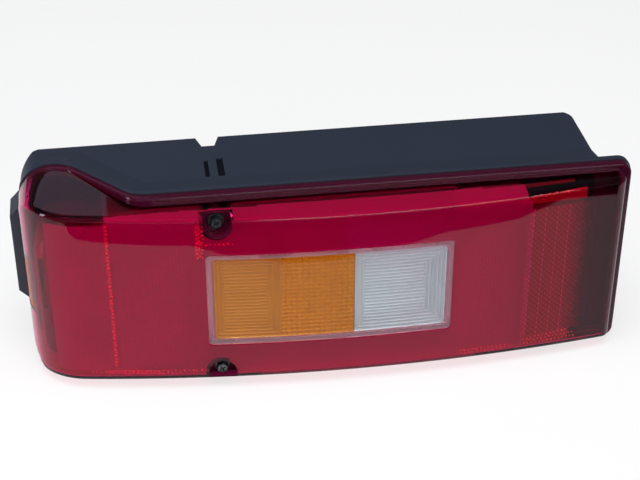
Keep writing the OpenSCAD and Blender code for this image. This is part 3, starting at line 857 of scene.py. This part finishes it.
    def shell(self) -> Object:
        """The closed shell: an outer skin, a lip and a foot carried round the joint and an inner skin.

        Returns:
            The shell, whose faces have their material numbers.
        """
        outer, starts, ways = self.skin(0.0, -self.lip_depth, self.edge_soft)
        inner, _, _ = self.skin(self.wall, -self.foot_depth, self.inner_soft)
        shape = outer.shape[:2]
        rim = self.rim_order(shape)
        at, way = starts.reshape(-1, 3)[rim], ways.reshape(-1, 3)[rim]
        rings = [
            self.cast(at + [0.0, shift + self.lip_depth, 0.0], way, self.outline_distance, inset, self.x_in)
            for inset, shift in self.lip + self.foot
        ]
        count, start = shape[0] * shape[1], shape[0] * shape[1] + len(rings) * len(rim)
        carried = np.arange(count, start).reshape(-1, len(rim))
        faces = [grid_faces(*shape), *tube_faces([rim, *carried, start + rim])]
        inner_faces = grid_faces(*shape, start)[:, ::-1]
        points = np.concatenate([outer.reshape(-1, 3), *rings, inner.reshape(-1, 3)])
        kinds = [
            np.where(points[faces[0]].mean(axis=1)[:, 0] > self.turn_x, 2, 0),
            np.full(sum(len(block) for block in faces[1:]), 2),
            self.inner_kinds(points[inner_faces].mean(axis=1)),
        ]
        return piece_from("red_lens", points, [*faces, inner_faces], self.sharp_deg, np.concatenate(kinds))

    def u_outline(self, radius: float, side: int, top: float) -> Array:
        """The U round a screw: a half circle that faces the window, and two straight sides to the long wall.

        Args:
            radius: the half circle's radius.
            side: 1 for the upper screw, -1 for the lower one.
            top: Z where the sides end, for the upper one.

        Returns:
            Points in X and Z, in order round the U.
        """
        angle = np.linspace(math.pi, 2 * math.pi, 33)
        x, z = self.screw_x + radius * np.cos(angle), self.screw_z + radius * np.sin(angle)
        sides = [[self.screw_x + radius, top], [self.screw_x - radius, top]]
        ring = np.concatenate([np.stack([x, z], axis=1), sides])
        return ring if side > 0 else np.stack([ring[::-1, 0], -ring[::-1, 1]], axis=1)

    def keep_wall(self, cutter: Object) -> None:
        """Takes off the lower well's cutter what would cut the long wall, so that a thin skin of it stays.

        Args:
            cutter: the well's cutter.
        """
        limits, (x0, x1), z0 = [], self.stay_x, self.stay_z
        for name, low, back, front in self.wall_stays:
            box = np.array([[x0, -low], [x0, z0], [x1, z0], [x1, -low]])
            limits.append((prism(name, box, [(back, 0.0), (front, 0.0)]), "DIFFERENCE"))
        carve(cutter, limits, self.sharp_deg)

    def window_outline(self) -> Array:
        """The window's rounded rectangle: a quarter circle at each corner.

        Returns:
            Points in X and Z, in order round the window.
        """
        x0, x1, z0, z1 = self.window
        radius, turn = self.window_corner, np.linspace(0, math.pi / 2, 7)
        parts = []
        for x, z, quarter in [(x1, z1, 0.0), (x0, z1, 0.5), (x0, z0, 1.0), (x1, z0, 1.5)]:
            angle = turn + quarter * math.pi
            cx = x - math.copysign(radius, x - (x0 + x1) / 2)
            cz = z - math.copysign(radius, z)
            parts.append(np.stack([cx + radius * np.cos(angle), cz + radius * np.sin(angle)], axis=1))
        return np.concatenate(parts)

    def well(self, side: int) -> Object:
        """The cutter of one screw's well, whose cut faces become thick acrylic.

        Args:
            side: 1 for the upper screw, -1 for the lower one.

        Returns:
            The closed cutter.
        """
        outline = self.u_outline(self.well_radius, side, self.well_top)
        cutter = prism(f"well{side}", outline, list(self.well_steps))
        if side < 0:
            self.keep_wall(cutter)
        thick = np.full(len(cutter.data.polygons), 2, dtype=np.int32)
        cutter.data.polygons.foreach_set("material_index", thick)
        return cutter

    def build(self) -> Object:
        """Builds the lens, with its cups, wells and openings, and dresses it.

        Returns:
            The lens.
        """
        lens = self.shell()
        dress(lens, Finish.RED_ACRYLIC, Finish.PILLOWED_ACRYLIC, Finish.THICK_ACRYLIC)
        cups, cutters = [], []
        radius, (back, front) = self.hole_radius, self.hole_y
        hole = np.array([[0.0, back], [radius, back], [radius, front], [0.0, front]])
        for side in (-1, 1):
            cup = self.u_outline(self.well_radius + self.cup_wall, side, self.cup_top)
            cups.append(prism(f"cup{side}", cup, [(y, 0) for y in self.cup_y]))
            cutters.append(self.well(side))
            points, faces = turned(hole, (self.screw_x, side * self.screw_z), 24)
            cutters.append(piece_from(f"hole{side}", points, [faces]))
        cutters.append(prism("window_cut", self.window_outline(), [(y, 0) for y in self.window_y]))
        (y0, y1, half), (x0, x1) = self.marker, self.marker_x
        box = np.array([[x0, -half], [x1, -half], [x1, half], [x0, half]])
        cutters.append(prism("marker_cut", box, [(y1, 0), (y0, 0)]))
        tools = [(cup, "UNION") for cup in cups] + [(cutter, "DIFFERENCE") for cutter in cutters]
        carve(lens, tools, self.sharp_deg)
        LOG.info("lens faces by finish: %s", np.bincount(kinds_of(lens)).tolist())
        return mount(lens, "red_lens", "lens")

    def beads(self, name: str, at: Array, radius: float, stretch: float, uneven: float) -> Object:
        """Rows of small balls of few faces on the lens's inside, as uneven as moulded prism ends look.

        Args:
            name: the piece's name.
            at: the places, as X, Y and Z.
            radius: radius of a bead.
            stretch: a bead's depth over its radius.
            uneven: how far a bead lies off its place, in its radius.

        Returns:
            All the beads as one piece.
        """
        chance = np.random.default_rng(len(at))
        at = at + chance.uniform(-uneven, uneven, at.shape) * radius * np.array([1.0, 0.2, 1.0])
        radii = radius * chance.uniform(0.55, 1.1, (len(at), 1, 1, 1))
        tilt, turn = np.linspace(0, math.pi, 7)[:, None], np.arange(8) * (math.pi / 4)
        across, along = np.sin(tilt), -stretch * np.cos(tilt) + 0 * turn
        ball = np.stack([across * np.cos(turn), along, across * np.sin(turn)], axis=-1)
        points = (at[:, None, None, :] + radii * ball).reshape(-1, 3)
        rings = np.arange(ball[..., 0].size).reshape(ball.shape[:2])
        faces = np.concatenate(tube_faces(rings))
        every = (faces[None] + rings.size * np.arange(len(at))[:, None, None]).reshape(-1, 4)
        return piece_from(name, points, [every], 80.0)


# ---------------------------------------------------------------- the window


@dataclass
class Insert:
    """One slab of the window, smooth outside and moulded inside with flutes or beads that follow the bow."""

    name: str
    x0: float
    x1: float
    z0: float = -33.0
    z1: float = 33.0
    depth: float = 1.4
    thickness: float = 1.7
    relief: float = 0.6
    bead_relief: float = 0.9
    flute_mm: float = 2.75
    bead_mm: Two = (3.9, 3.3)
    beads_from: float = 1e9
    side_flutes: Two = (7.0, 9.0)
    step_mm: Two = (0.42, 0.3)

    def relief_at(self, x: Array, z: Array) -> Array:
        """Height of the optics: level flutes, upright ones near each side, mitred at the corners, or pillows.

        Each flute or pillow is a raised half wave, the square root of one, so its crest is round and its
        valley sharp.

        Args:
            x: places along the slab.
            z: places up it.

        Returns:
            The height at each place.
        """
        end = min(self.x1, self.beads_from)
        left, right = x - self.x0, end - x
        ends = np.minimum(z - self.z0, self.z1 - z)
        on_left = left < np.minimum(self.side_flutes[0], ends)
        on_right = (right < np.minimum(self.side_flutes[1], ends)) & (right >= 0)
        across = np.where(on_left | on_right, np.minimum(left, np.abs(right)), ends)
        flutes = np.sqrt(np.abs(np.sin(math.pi * across / self.flute_mm)))
        level = np.abs(np.sin(math.pi * (z - self.z0) / self.bead_mm[1]))
        pillow = np.sqrt(level * np.abs(np.sin(math.pi * (x - end) / self.bead_mm[0])))
        return np.where(x > self.beads_from, self.bead_relief * pillow, self.relief * flutes)

    def build(self, lens: Lens, *finishes: Finish) -> Object:
        """Builds the slab as two grids joined round their borders.

        Args:
            lens: the lens, whose bow it follows.
            finishes: those of its outside, of its flutes and of its beads.

        Returns:
            The slab.
        """
        columns = max(12, int((self.x1 - self.x0) / self.step_mm[0]))
        rows = int((self.z1 - self.z0) / self.step_mm[1])
        across, up = np.linspace(self.x0, self.x1, columns), np.linspace(self.z0, self.z1, rows)
        x, z = np.meshgrid(across, up, indexing="ij")
        back_y = lens.face_at(x, self.depth + self.thickness) + self.relief_at(x, z)
        sides = [np.stack([x, y, z], axis=-1) for y in (lens.face_at(x, self.depth), back_y)]
        points = np.concatenate(sides).reshape(-1, 3)
        rim = lens.rim_order(x.shape)
        inside = grid_faces(*x.shape, x.size)[:, ::-1]
        faces = [grid_faces(*x.shape), inside, ring_faces(rim, rim + x.size)]
        beaded = points[inside].mean(axis=1)[:, 0] > self.beads_from
        kinds = np.concatenate([np.zeros(len(faces[0])), 1 + beaded, np.zeros(len(faces[2]))])
        piece = piece_from(self.name, points, faces, 50.0, kinds)
        dress(piece, *finishes)
        return piece


@dataclass
class Window:
    """The frame set into the lens, with its amber and clear inserts."""

    divide_x: float = 13.0
    bead_x: float = -38.5
    frame_mm: float = 5.0
    frame_depth: float = 0.8
    steps: int = 12
    # Pairs of the inset from the opening and the depth behind the frame's front.
    section: tuple[Two, ...] = (
        (0.12, 2.4), (0.12, 0.5), (0.3, 0.15), (0.7, 0.0), (3.2, 0.0),
        (3.9, 0.2), (4.6, 0.9), (4.95, 1.5), (5.0, 2.4),
    )

    def frame(self, lens: Lens) -> Object:
        """The frame: a rounded bar's section carried round the window, following the bow.

        Args:
            lens: the lens, which has the opening.

        Returns:
            The frame.
        """
        x0, x1, z0, z1 = lens.window
        centre, half = np.array([x0 + x1, z0 + z1]) / 2, np.array([x1 - x0, z1 - z0]) / 2
        around = lens.window_outline() - centre
        share = (np.arange(self.steps) / self.steps)[:, None]
        rings = []
        for inset, depth in self.section:
            ring = centre + around * (half - inset) / half
            onward = np.roll(ring, -1, axis=0) - ring
            x, z = (ring[:, None, :] + onward[:, None, :] * share).reshape(-1, 2).T
            rings.append(np.stack([x, lens.face_at(x, self.frame_depth + depth), z], axis=1))
        loops = np.arange(len(rings) * len(x)).reshape(len(rings), -1)
        faces = tube_faces([*loops, loops[0]])
        piece = piece_from("window_frame_bar", np.concatenate(rings), faces, 35.0)
        dress(piece, Finish.FRAME_ACRYLIC)
        return mount(piece, "frame_plastic", "window_frame")

    def build(self, lens: Lens) -> None:
        """Builds the frame and both inserts.

        Args:
            lens: the lens that holds them.
        """
        self.frame(lens)
        x0, x1 = lens.window[0] + self.frame_mm, lens.window[1] - self.frame_mm
        amber = Insert("amber_optic", x0, self.divide_x, beads_from=self.bead_x)
        clear = Insert("clear_optic", self.divide_x, x1, side_flutes=(7.0, 15.0))
        ambers = (Finish.AMBER_ACRYLIC, Finish.AMBER_OPTIC, Finish.AMBER_BEADS)
        clears = (Finish.CLEAR_ACRYLIC, Finish.CLEAR_OPTIC, Finish.CLEAR_OPTIC)
        mount(amber.build(lens, *ambers), "amber_lens", "amber_insert")
        mount(clear.build(lens, *clears), "clear_lens", "clear_insert")


# ---------------------------------------------------------------- screws and seams


@dataclass
class LensScrews:
    """Two hexagon-headed screws with a washer face and a cross recess, in the lens's wells."""

    head_y: float = -102.0
    seat_y: float = -97.0
    flats: float = 8.0
    head_turn: float = 0.35
    head_chamfer: float = 0.7
    washer: float = 5.6
    shank: float = 2.05
    shank_end: float = -78.0
    arm: float = 2.3
    arm_half: float = 0.45
    arm_turn: float = 0.5
    recess: float = 2.0
    sharp_deg: float = 30.0

    def profile(self) -> Array:
        """The shank's and washer's profile: a pointed shank, and a washer with bevelled edges.

        Returns:
            Pairs of radius and Y.
        """
        front = self.seat_y - 1.2
        thin, wide, end, seat = self.shank, self.washer, self.shank_end, self.seat_y
        shank = [[0.0, end], [thin - 0.6, end], [thin, end - 1], [thin, seat]]
        edge = [[wide - 0.15, seat], [wide, seat - 0.2], [wide, seat - 0.9], [wide - 0.3, front]]
        return np.array([*shank, *edge, [3.0, front], [0.0, front]])

    def screw(self, side: int, centre: Two) -> Object:
        """One screw: a turned shank and washer, a chamfered hexagon and a cut cross.

        Args:
            side: 1 for the upper screw, -1 for the lower one.
            centre: X and Z of its axis.

        Returns:
            The screw.
        """
        points, faces = turned(self.profile(), centre, 40)
        body = piece_from(f"washer{side}", points, [faces], self.sharp_deg)
        angle = np.arange(6) * math.pi / 3 + self.head_turn
        hexagon = np.stack([np.cos(angle), np.sin(angle)], axis=1) * self.flats / math.sqrt(3) + centre
        stations = [(self.seat_y - 1.0, 0), (self.head_y + self.head_chamfer, 0)]
        head = prism(f"hexagon{side}", hexagon, [*stations, (self.head_y, -self.head_chamfer)])
        a, h = self.arm, self.arm_half
        quarter = np.array([[-h, -a], [h, -a], [h, -h]])
        cos, sin = math.cos(self.arm_turn), math.sin(self.arm_turn)
        cross = np.concatenate([quarter @ np.linalg.matrix_power([[0, 1], [-1, 0]], k) for k in range(4)])
        spun = cross @ np.array([[cos, sin], [-sin, cos]]) + centre
        recess = prism(f"cross{side}", spun, [(self.head_y + self.recess, 0), (self.head_y - 1.0, 0)])
        carve(body, [(head, "UNION"), (recess, "DIFFERENCE")], self.sharp_deg)
        return body

    def build(self, lens: Lens) -> Object:
        """Builds both screws and joins them into one piece.

        Args:
            lens: the lens, whose wells they stand in.

        Returns:
            The piece.
        """
        mesh = bpy.data.meshes.new("hex_screws")
        bm = bmesh.new()
        for side in (-1, 1):
            part = self.screw(side, (lens.screw_x, side * lens.screw_z))
            bm.from_mesh(part.data)
            bpy.data.objects.remove(part)
        bm.to_mesh(mesh)
        bm.free()
        piece = placed("hex_screws", mesh)
        smooth(piece, self.sharp_deg)
        dress(piece, Finish.ZINC)
        return mount(piece, "screw_steel", "lens_screws")


Five = tuple[float, float, float, float, float]
Bar = tuple[Five, Five]


@dataclass
class Seams:
    """Rows of prism ends inside the lens, along its baffles, its lower edge and the reflector, as beads
    painted bright as glints; also ledges and strips painted lit or dim, and sheets of painted shade in the
    slits.
    """

    pitch_mm: float = 3.0
    proud_mm: float = 0.8
    bead_radius: Two = (0.85, 1.1)
    bead_depth: float = 0.8
    bead_uneven: float = 0.5
    # Rows along the lower edge, then on the baffle and beside the upper screw: X and Z of each end.
    edge_rows: tuple[Four, ...] = (
        (-150.0, -62.3, -108.0, -62.3), (-150.0, -60.5, -92.0, -60.5), (-173.0, -61.5, -163.0, -61.5),
        (92.0, -62.5, 130.0, -62.5), (92.0, -60.3, 130.0, -60.3), (140.0, -61.5, 180.0, -61.5),
        (141.5, -59.3, 178.0, -57.8), (139.0, -57.1, 174.0, -54.6),
    )
    seam_rows: tuple[Four, ...] = (
        (-155.5, -56.0, -155.5, 62.0), (-95.0, 36.0, -95.0, 61.0), (-93.0, 37.6, -93.0, 61.0),
        (-91.2, 36.6, -91.2, 61.0), (-92.0, 46.5, -68.0, 46.5),
    )
    bar_row: tuple[Three, ...] = ((135.0, -102.6, 63.2), (176.0, -97.6, 64.4))
    bar_beads: int = 17
    # Each ledge by its two ends, and each end by an X, two Y and two Z.
    # Ledges with painted light, a bright red.
    lit: tuple[Bar, ...] = (
        ((130.0, -103.3, -101.6, 58.6, 62.0), (178.0, -97.8, -96.1, 57.4, 65.0)),
        ((86.0, -106.6, -105.4, 62.0, 63.6), (127.0, -103.7, -102.5, 61.6, 63.2)),
        ((137.5, -101.8, -100.6, -63.0, -54.3), (174.0, -97.6, -96.4, -63.0, -54.3)),
    )
    # Strips with painted light, a clear bright red.
    strips: tuple[Bar, ...] = (
        ((-157.0, -94.7, -94.3, -56.0, 63.0), (-154.2, -95.1, -94.7, -56.0, 63.0)),
        ((-96.0, -102.8, -102.4, 36.0, 62.0), (-92.6, -103.2, -102.8, 36.0, 62.0)),
        ((-163.0, -93.6, -93.2, -62.8, -60.0), (-124.0, -99.3, -98.9, -63.4, -60.2)),
    )
    # Ledges with painted shade, a darker red, where less light gets to.
    dim: tuple[Bar, ...] = (
        ((137.5, -102.4, -101.2, 54.3, 58.2), (176.0, -98.0, -96.8, 54.3, 57.2)),
        ((123.0, -95.5, -91.5, 65.2, 65.9), (171.0, -91.6, -88.2, 65.4, 66.1)),
    )
    # Near-black sheets of painted shade at the floors of the slits' recesses in the tub's top, each by its
    # two ends.
    painted_slit_shades: tuple[Bar, ...] = (
        ((-83.95, -57.95, -35.05, 71.3, 71.4), (-81.05, -57.95, -35.05, 71.3, 71.4)),
        ((-74.95, -57.95, -33.05, 71.3, 71.4), (-70.45, -57.95, -33.05, 71.3, 71.4)),
    )

    def row(self, lens: Lens, x0: float, z0: float, x1: float, z1: float) -> Array:
        """Places of a straight row: even steps from one end to the other, in front of the lens's inner face.

        Args:
            lens: the lens.
            x0: X of the first end.
            z0: its Z.
            x1: X of the other end.
            z1: its Z.

        Returns:
            The places.
        """
        length = max(x1 - x0, z1 - z0)
        share = np.arange(0, length, self.pitch_mm) / length
        x = x0 + (x1 - x0) * share
        return np.stack([x, lens.face_at(x, lens.wall - self.proud_mm), z0 + (z1 - z0) * share], axis=1)

    def ledges(self, name: str, finish: Finish, bars: tuple[Bar, ...], slot: str = "red_lens") -> None:
        """Builds straight bars, each with four corners at either end, as one piece.

        Args:
            name: the piece's name.
            finish: its finish.
            bars: the bars.
            slot: its material slot.
        """
        x, y0, y1, z0, z1 = np.moveaxis(np.array(bars), -1, 0)
        corners = np.stack([x, y0, z0, x, y0, z1, x, y1, z1, x, y1, z0], axis=-1).reshape(-1, 4, 3)
        first = np.arange(len(corners) * 4).reshape(-1, 8)
        low, high = first[:, :4], first[:, 4:]
        sides = np.stack([low, np.roll(low, -1, 1), np.roll(high, -1, 1), high], axis=-1).reshape(-1, 4)
        piece = piece_from(name, corners.reshape(-1, 3), [sides, low[:, ::-1], high])
        dress(piece, finish)
        mount(piece, slot)

    def build(self, lens: Lens) -> None:
        """Builds the rows of prism ends with their painted glints, the ledges and strips painted lit or dim,
        and the sheets of painted shade in the slits.

        Args:
            lens: the lens that they lie in.
        """
        edge = [self.row(lens, *ends) for ends in self.edge_rows]
        bright = [self.row(lens, *ends) for ends in self.seam_rows]
        bright.append(np.linspace(*np.array(self.bar_row), self.bar_beads))
        # Both rows of beads are painted bright red, as glints of the prism ends.
        for name, rows, radius in zip(("edge_beads", "seam_beads"), (edge, bright), self.bead_radius):
            piece = lens.beads(name, np.concatenate(rows), radius, self.bead_depth, self.bead_uneven)
            dress(piece, Finish.PAINTED_GLINT_BEAD)
            mount(piece, "red_lens")
        # The ledges' finishes paint light and shade into their colour.
        self.ledges("lit_ledges", Finish.PAINTED_LIT_LEDGE, self.lit)
        self.ledges("seam_strips", Finish.PAINTED_LIT_STRIP, self.strips)
        self.ledges("dim_ledges", Finish.PAINTED_DIM_LEDGE, self.dim)
        self.ledges("painted_slit_shades", Finish.PAINTED_SLIT_SHADE, self.painted_slit_shades, "tub_plastic")


# ---------------------------------------------------------------- carried-over nodes


@dataclass
class Internals:
    """The CAD nodes that keep their shape, each with the finish of the real piece."""

    # By the node's own name, or by the end of it for the pieces of each bulb.
    finishes: dict[str, Finish] = field(
        default_factory=lambda: {
            "tub": Finish.BLACK_TUB,
            "marker_insert": Finish.MARKER_ACRYLIC,
            "reflex_plate": Finish.REFLEX,
            "lens_seal": Finish.RUBBER,
            "socket_seal": Finish.RUBBER,
            "breather": Finish.RUBBER,
            "socket_body": Finish.BLACK_NYLON,
            "socket_pins": Finish.STRIP_BRASS,
            "tray_screws": Finish.ZINC,
            "mounting_studs": Finish.STUD_STEEL,
            "indicator_glass": Finish.AMBER_GLASS,
            "_tray": Finish.SILVERED,
            "_strip": Finish.STRIP_BRASS,
            "_strips": Finish.STRIP_BRASS,
            "_holder": Finish.NYLON,
            "_cap": Finish.CAP_BRASS,
            "_glass": Finish.BULB_GLASS,
        }
    )

    def finish_of(self, node: str) -> Finish:
        """The finish of one CAD node, from its own name or the kind of piece it is."""
        return self.finishes.get(node) or self.finishes["_" + node.split("_")[-1]]

    def build(self, nodes: dict[str, Object]) -> None:
        """Dresses every CAD node that is still shown.

        Args:
            nodes: the CAD nodes by name.
        """
        for name, node in sorted(nodes.items()):
            if not node.hide_render:
                dress(node, self.finish_of(name))


# ---------------------------------------------------------------- camera, floor and light


@dataclass
class Studio:
    """The photograph's camera, a plain pale floor and soft light."""

    target: Three = (-7.26, -80.0, 27.35)
    azimuth: float = -8.29
    elevation: float = 33.16
    distance: float = 1084.7
    focal_px: float = 1542.2
    picture_px: float = 640.0
    sensor_mm: float = 36.0
    floor_z: float = -76.2
    floor_reach: float = 3000.0
    floor_glow: float = 0.7
    room_strength: float = 0.19
    # The flag's front edge as pairs of X and Y, its other edge and its reach to both sides.
    flag_edge: tuple[Two, ...] = (
        (-234, -277), (-127, -288), (-90, -275), (-36, -263), (20, -264),
        (136, -287), (220, -283), (279, -293), (324, -277), (345, -268),
    )
    flag_y: float = -620.0
    flag_reach: float = 700.0
    card_z: float = 700.0
    card_outline: tuple[Two, ...] = (
        (-420, 540), (-167, 540), (-167, 611), (-110, 606), (-110, 760), (-420, 760),
    )
    aim: Three = (0.0, -40.0, 0.0)

    def camera(self) -> None:
        """Makes the camera at the photograph's viewing angle."""
        a, e = math.radians(self.azimuth), math.radians(self.elevation)
        back = Vector((math.sin(a) * math.cos(e), -math.cos(a) * math.cos(e), math.sin(e)))
        data = bpy.data.cameras.new("camera")
        data.sensor_width, data.lens = self.sensor_mm, self.focal_px * self.sensor_mm / self.picture_px
        data.clip_start, data.clip_end = 0.05, 30.0
        camera = placed("camera", data)
        camera.location = Vector(self.target) * MM + back * self.distance * MM
        camera.rotation_mode = "QUATERNION"
        camera.rotation_quaternion = (-back).to_track_quat("-Z", "Y")
        bpy.context.scene.camera = camera

    def sheet(self, name: str, points: Array, faces: Array) -> Object:
        """Makes one flat sheet of the stage.

        Args:
            name: its name.
            points: its points, in millimetres.
            faces: the point numbers of its faces.

        Returns:
            The sheet, which has no material yet.
        """
        mesh = bpy.data.meshes.new(name)
        mesh.from_pydata((points.reshape(-1, 3) * MM).tolist(), [], faces.tolist())
        sheet = placed(name, mesh)
        return sheet

    def floor(self) -> None:
        """Makes the floor: a wide flat sheet of matt white board with a barely uneven tone.

        It glows for the camera and for mirrored and transmitted rays, so that they see it as white.
        """
        reach = np.linspace(-self.floor_reach, self.floor_reach, 9)
        x, y = np.meshgrid(reach, reach, indexing="ij")
        points = np.stack([x, y, np.full_like(x, self.floor_z)], axis=-1)
        make = Shader("matt_white_board")
        tone = {"Base Color": make.blend("F6F6F6", "F2F2F3", make.noise(3.0))}
        board = make.skin({"Roughness": 0.9, "Specular IOR Level": 0.1}, tone)
        path = make.add("LightPath")
        seen = make.maths("MAXIMUM", (path, "Is Camera Ray"), (path, "Is Glossy Ray"))
        shown = make.maths("MAXIMUM", seen, (path, "Is Transmission Ray"))
        share = make.add("Math", {"operation": "MULTIPLY", 1: self.floor_glow}, {0: shown}), "Value"
        glow = make.add("Emission", {"Strength": 1.0}), "Emission"
        both = make.add("MixShader", {}, {0: share, 1: board, 2: glow}), "Shader"
        self.sheet("floor", points, grid_faces(9, 9)).data.materials.append(make.done(both))

    def flag(self) -> None:
        """Makes a dark cloth on the floor in front of the frame, which keeps the upper lens free of glare."""
        columns, rows = 141, 5
        across = np.linspace(-self.flag_reach, self.flag_reach, columns)
        x, t = np.meshgrid(across, np.linspace(0, 1, rows), indexing="ij")
        y = self.flag_y + (np.interp(x, *np.array(self.flag_edge).T) - self.flag_y) * t
        points = np.stack([x, y, np.full_like(x, self.floor_z + 1.0)], axis=-1)
        cloth = self.sheet("flag", points, grid_faces(columns, rows))
        cloth.visible_camera = cloth.visible_shadow = False
        dress(cloth, Finish.FLAG_CLOTH)

    def card(self) -> None:
        """Makes a pale card above and behind the outer end, which the lens's upper wall mirrors there."""
        count = len(self.card_outline)
        points = np.column_stack([self.card_outline, np.full(count, self.card_z)])
        card = self.sheet("card", points, np.arange(count)[None])
        card.visible_camera = card.visible_diffuse = card.visible_shadow = card.visible_transmission = False
        make = Shader("pale_card")
        glow = make.add("Emission", {"Color": linear("F0D4F2"), "Strength": 1.0})
        card.data.materials.append(make.done((glow, "Emission")))

    def lamp(
        self,
        name: str,
        at: Three,
        size: Two,
        watts: float,
        tint: str,
        mirrored: bool = True,
    ) -> None:
        """Makes one soft box that faces the lamp.

        Args:
            name: the light's name.
            at: its place, in millimetres.
            size: its width and height, in millimetres.
            watts: its power.
            tint: its colour.
            mirrored: whether polished surfaces show it.
        """
        data = bpy.data.lights.new(name, "AREA")
        data.shape, data.size, data.size_y = "RECTANGLE", size[0] * MM, size[1] * MM
        data.energy, data.color = watts, linear(tint)[:3]
        light = placed(name, data)
        light.location = Vector(at) * MM
        light.visible_glossy = mirrored
        light.rotation_mode = "QUATERNION"
        light.rotation_quaternion = (Vector(self.aim) - Vector(at)).to_track_quat("-Z", "Y")

    def room(self) -> None:
        """Makes the dim cool light of the room and keeps the colours plain."""
        world = bpy.data.worlds.new("room")
        bpy.context.scene.world = world
        world.use_nodes = True
        shade = world.node_tree.nodes["Background"]
        shade.inputs["Color"].default_value = linear("AEB8C8")
        shade.inputs["Strength"].default_value = self.room_strength
        bpy.context.scene.view_settings.view_transform = "Standard"

    def build(self) -> None:
        """Sets the stage."""
        self.camera()
        self.floor()
        self.flag()
        self.card()
        self.lamp("overhead_box", (-150, -500, 1700), (1500, 1200), 33.0, "FFFFFF", mirrored=False)
        self.lamp("front_box", (500, -1900, 700), (1300, 700), 12.0, "FFFFFF")
        self.lamp("left_strip", (-1300, -500, 350), (160, 900), 5.5, "F4F6FF")
        self.room()


def main() -> None:
    """Builds the lamp's looks in order."""
    logging.basicConfig(level=logging.INFO, format="%(message)s")
    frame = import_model()
    Studio().build()
    lens = Lens()
    lens.build()
    Window().build(lens)
    LensScrews().build(lens)
    Seams().build(lens)
    Internals().build(frame["nodes"])
    bpy.context.view_layer.update()


if __name__ == "__main__":
    main()
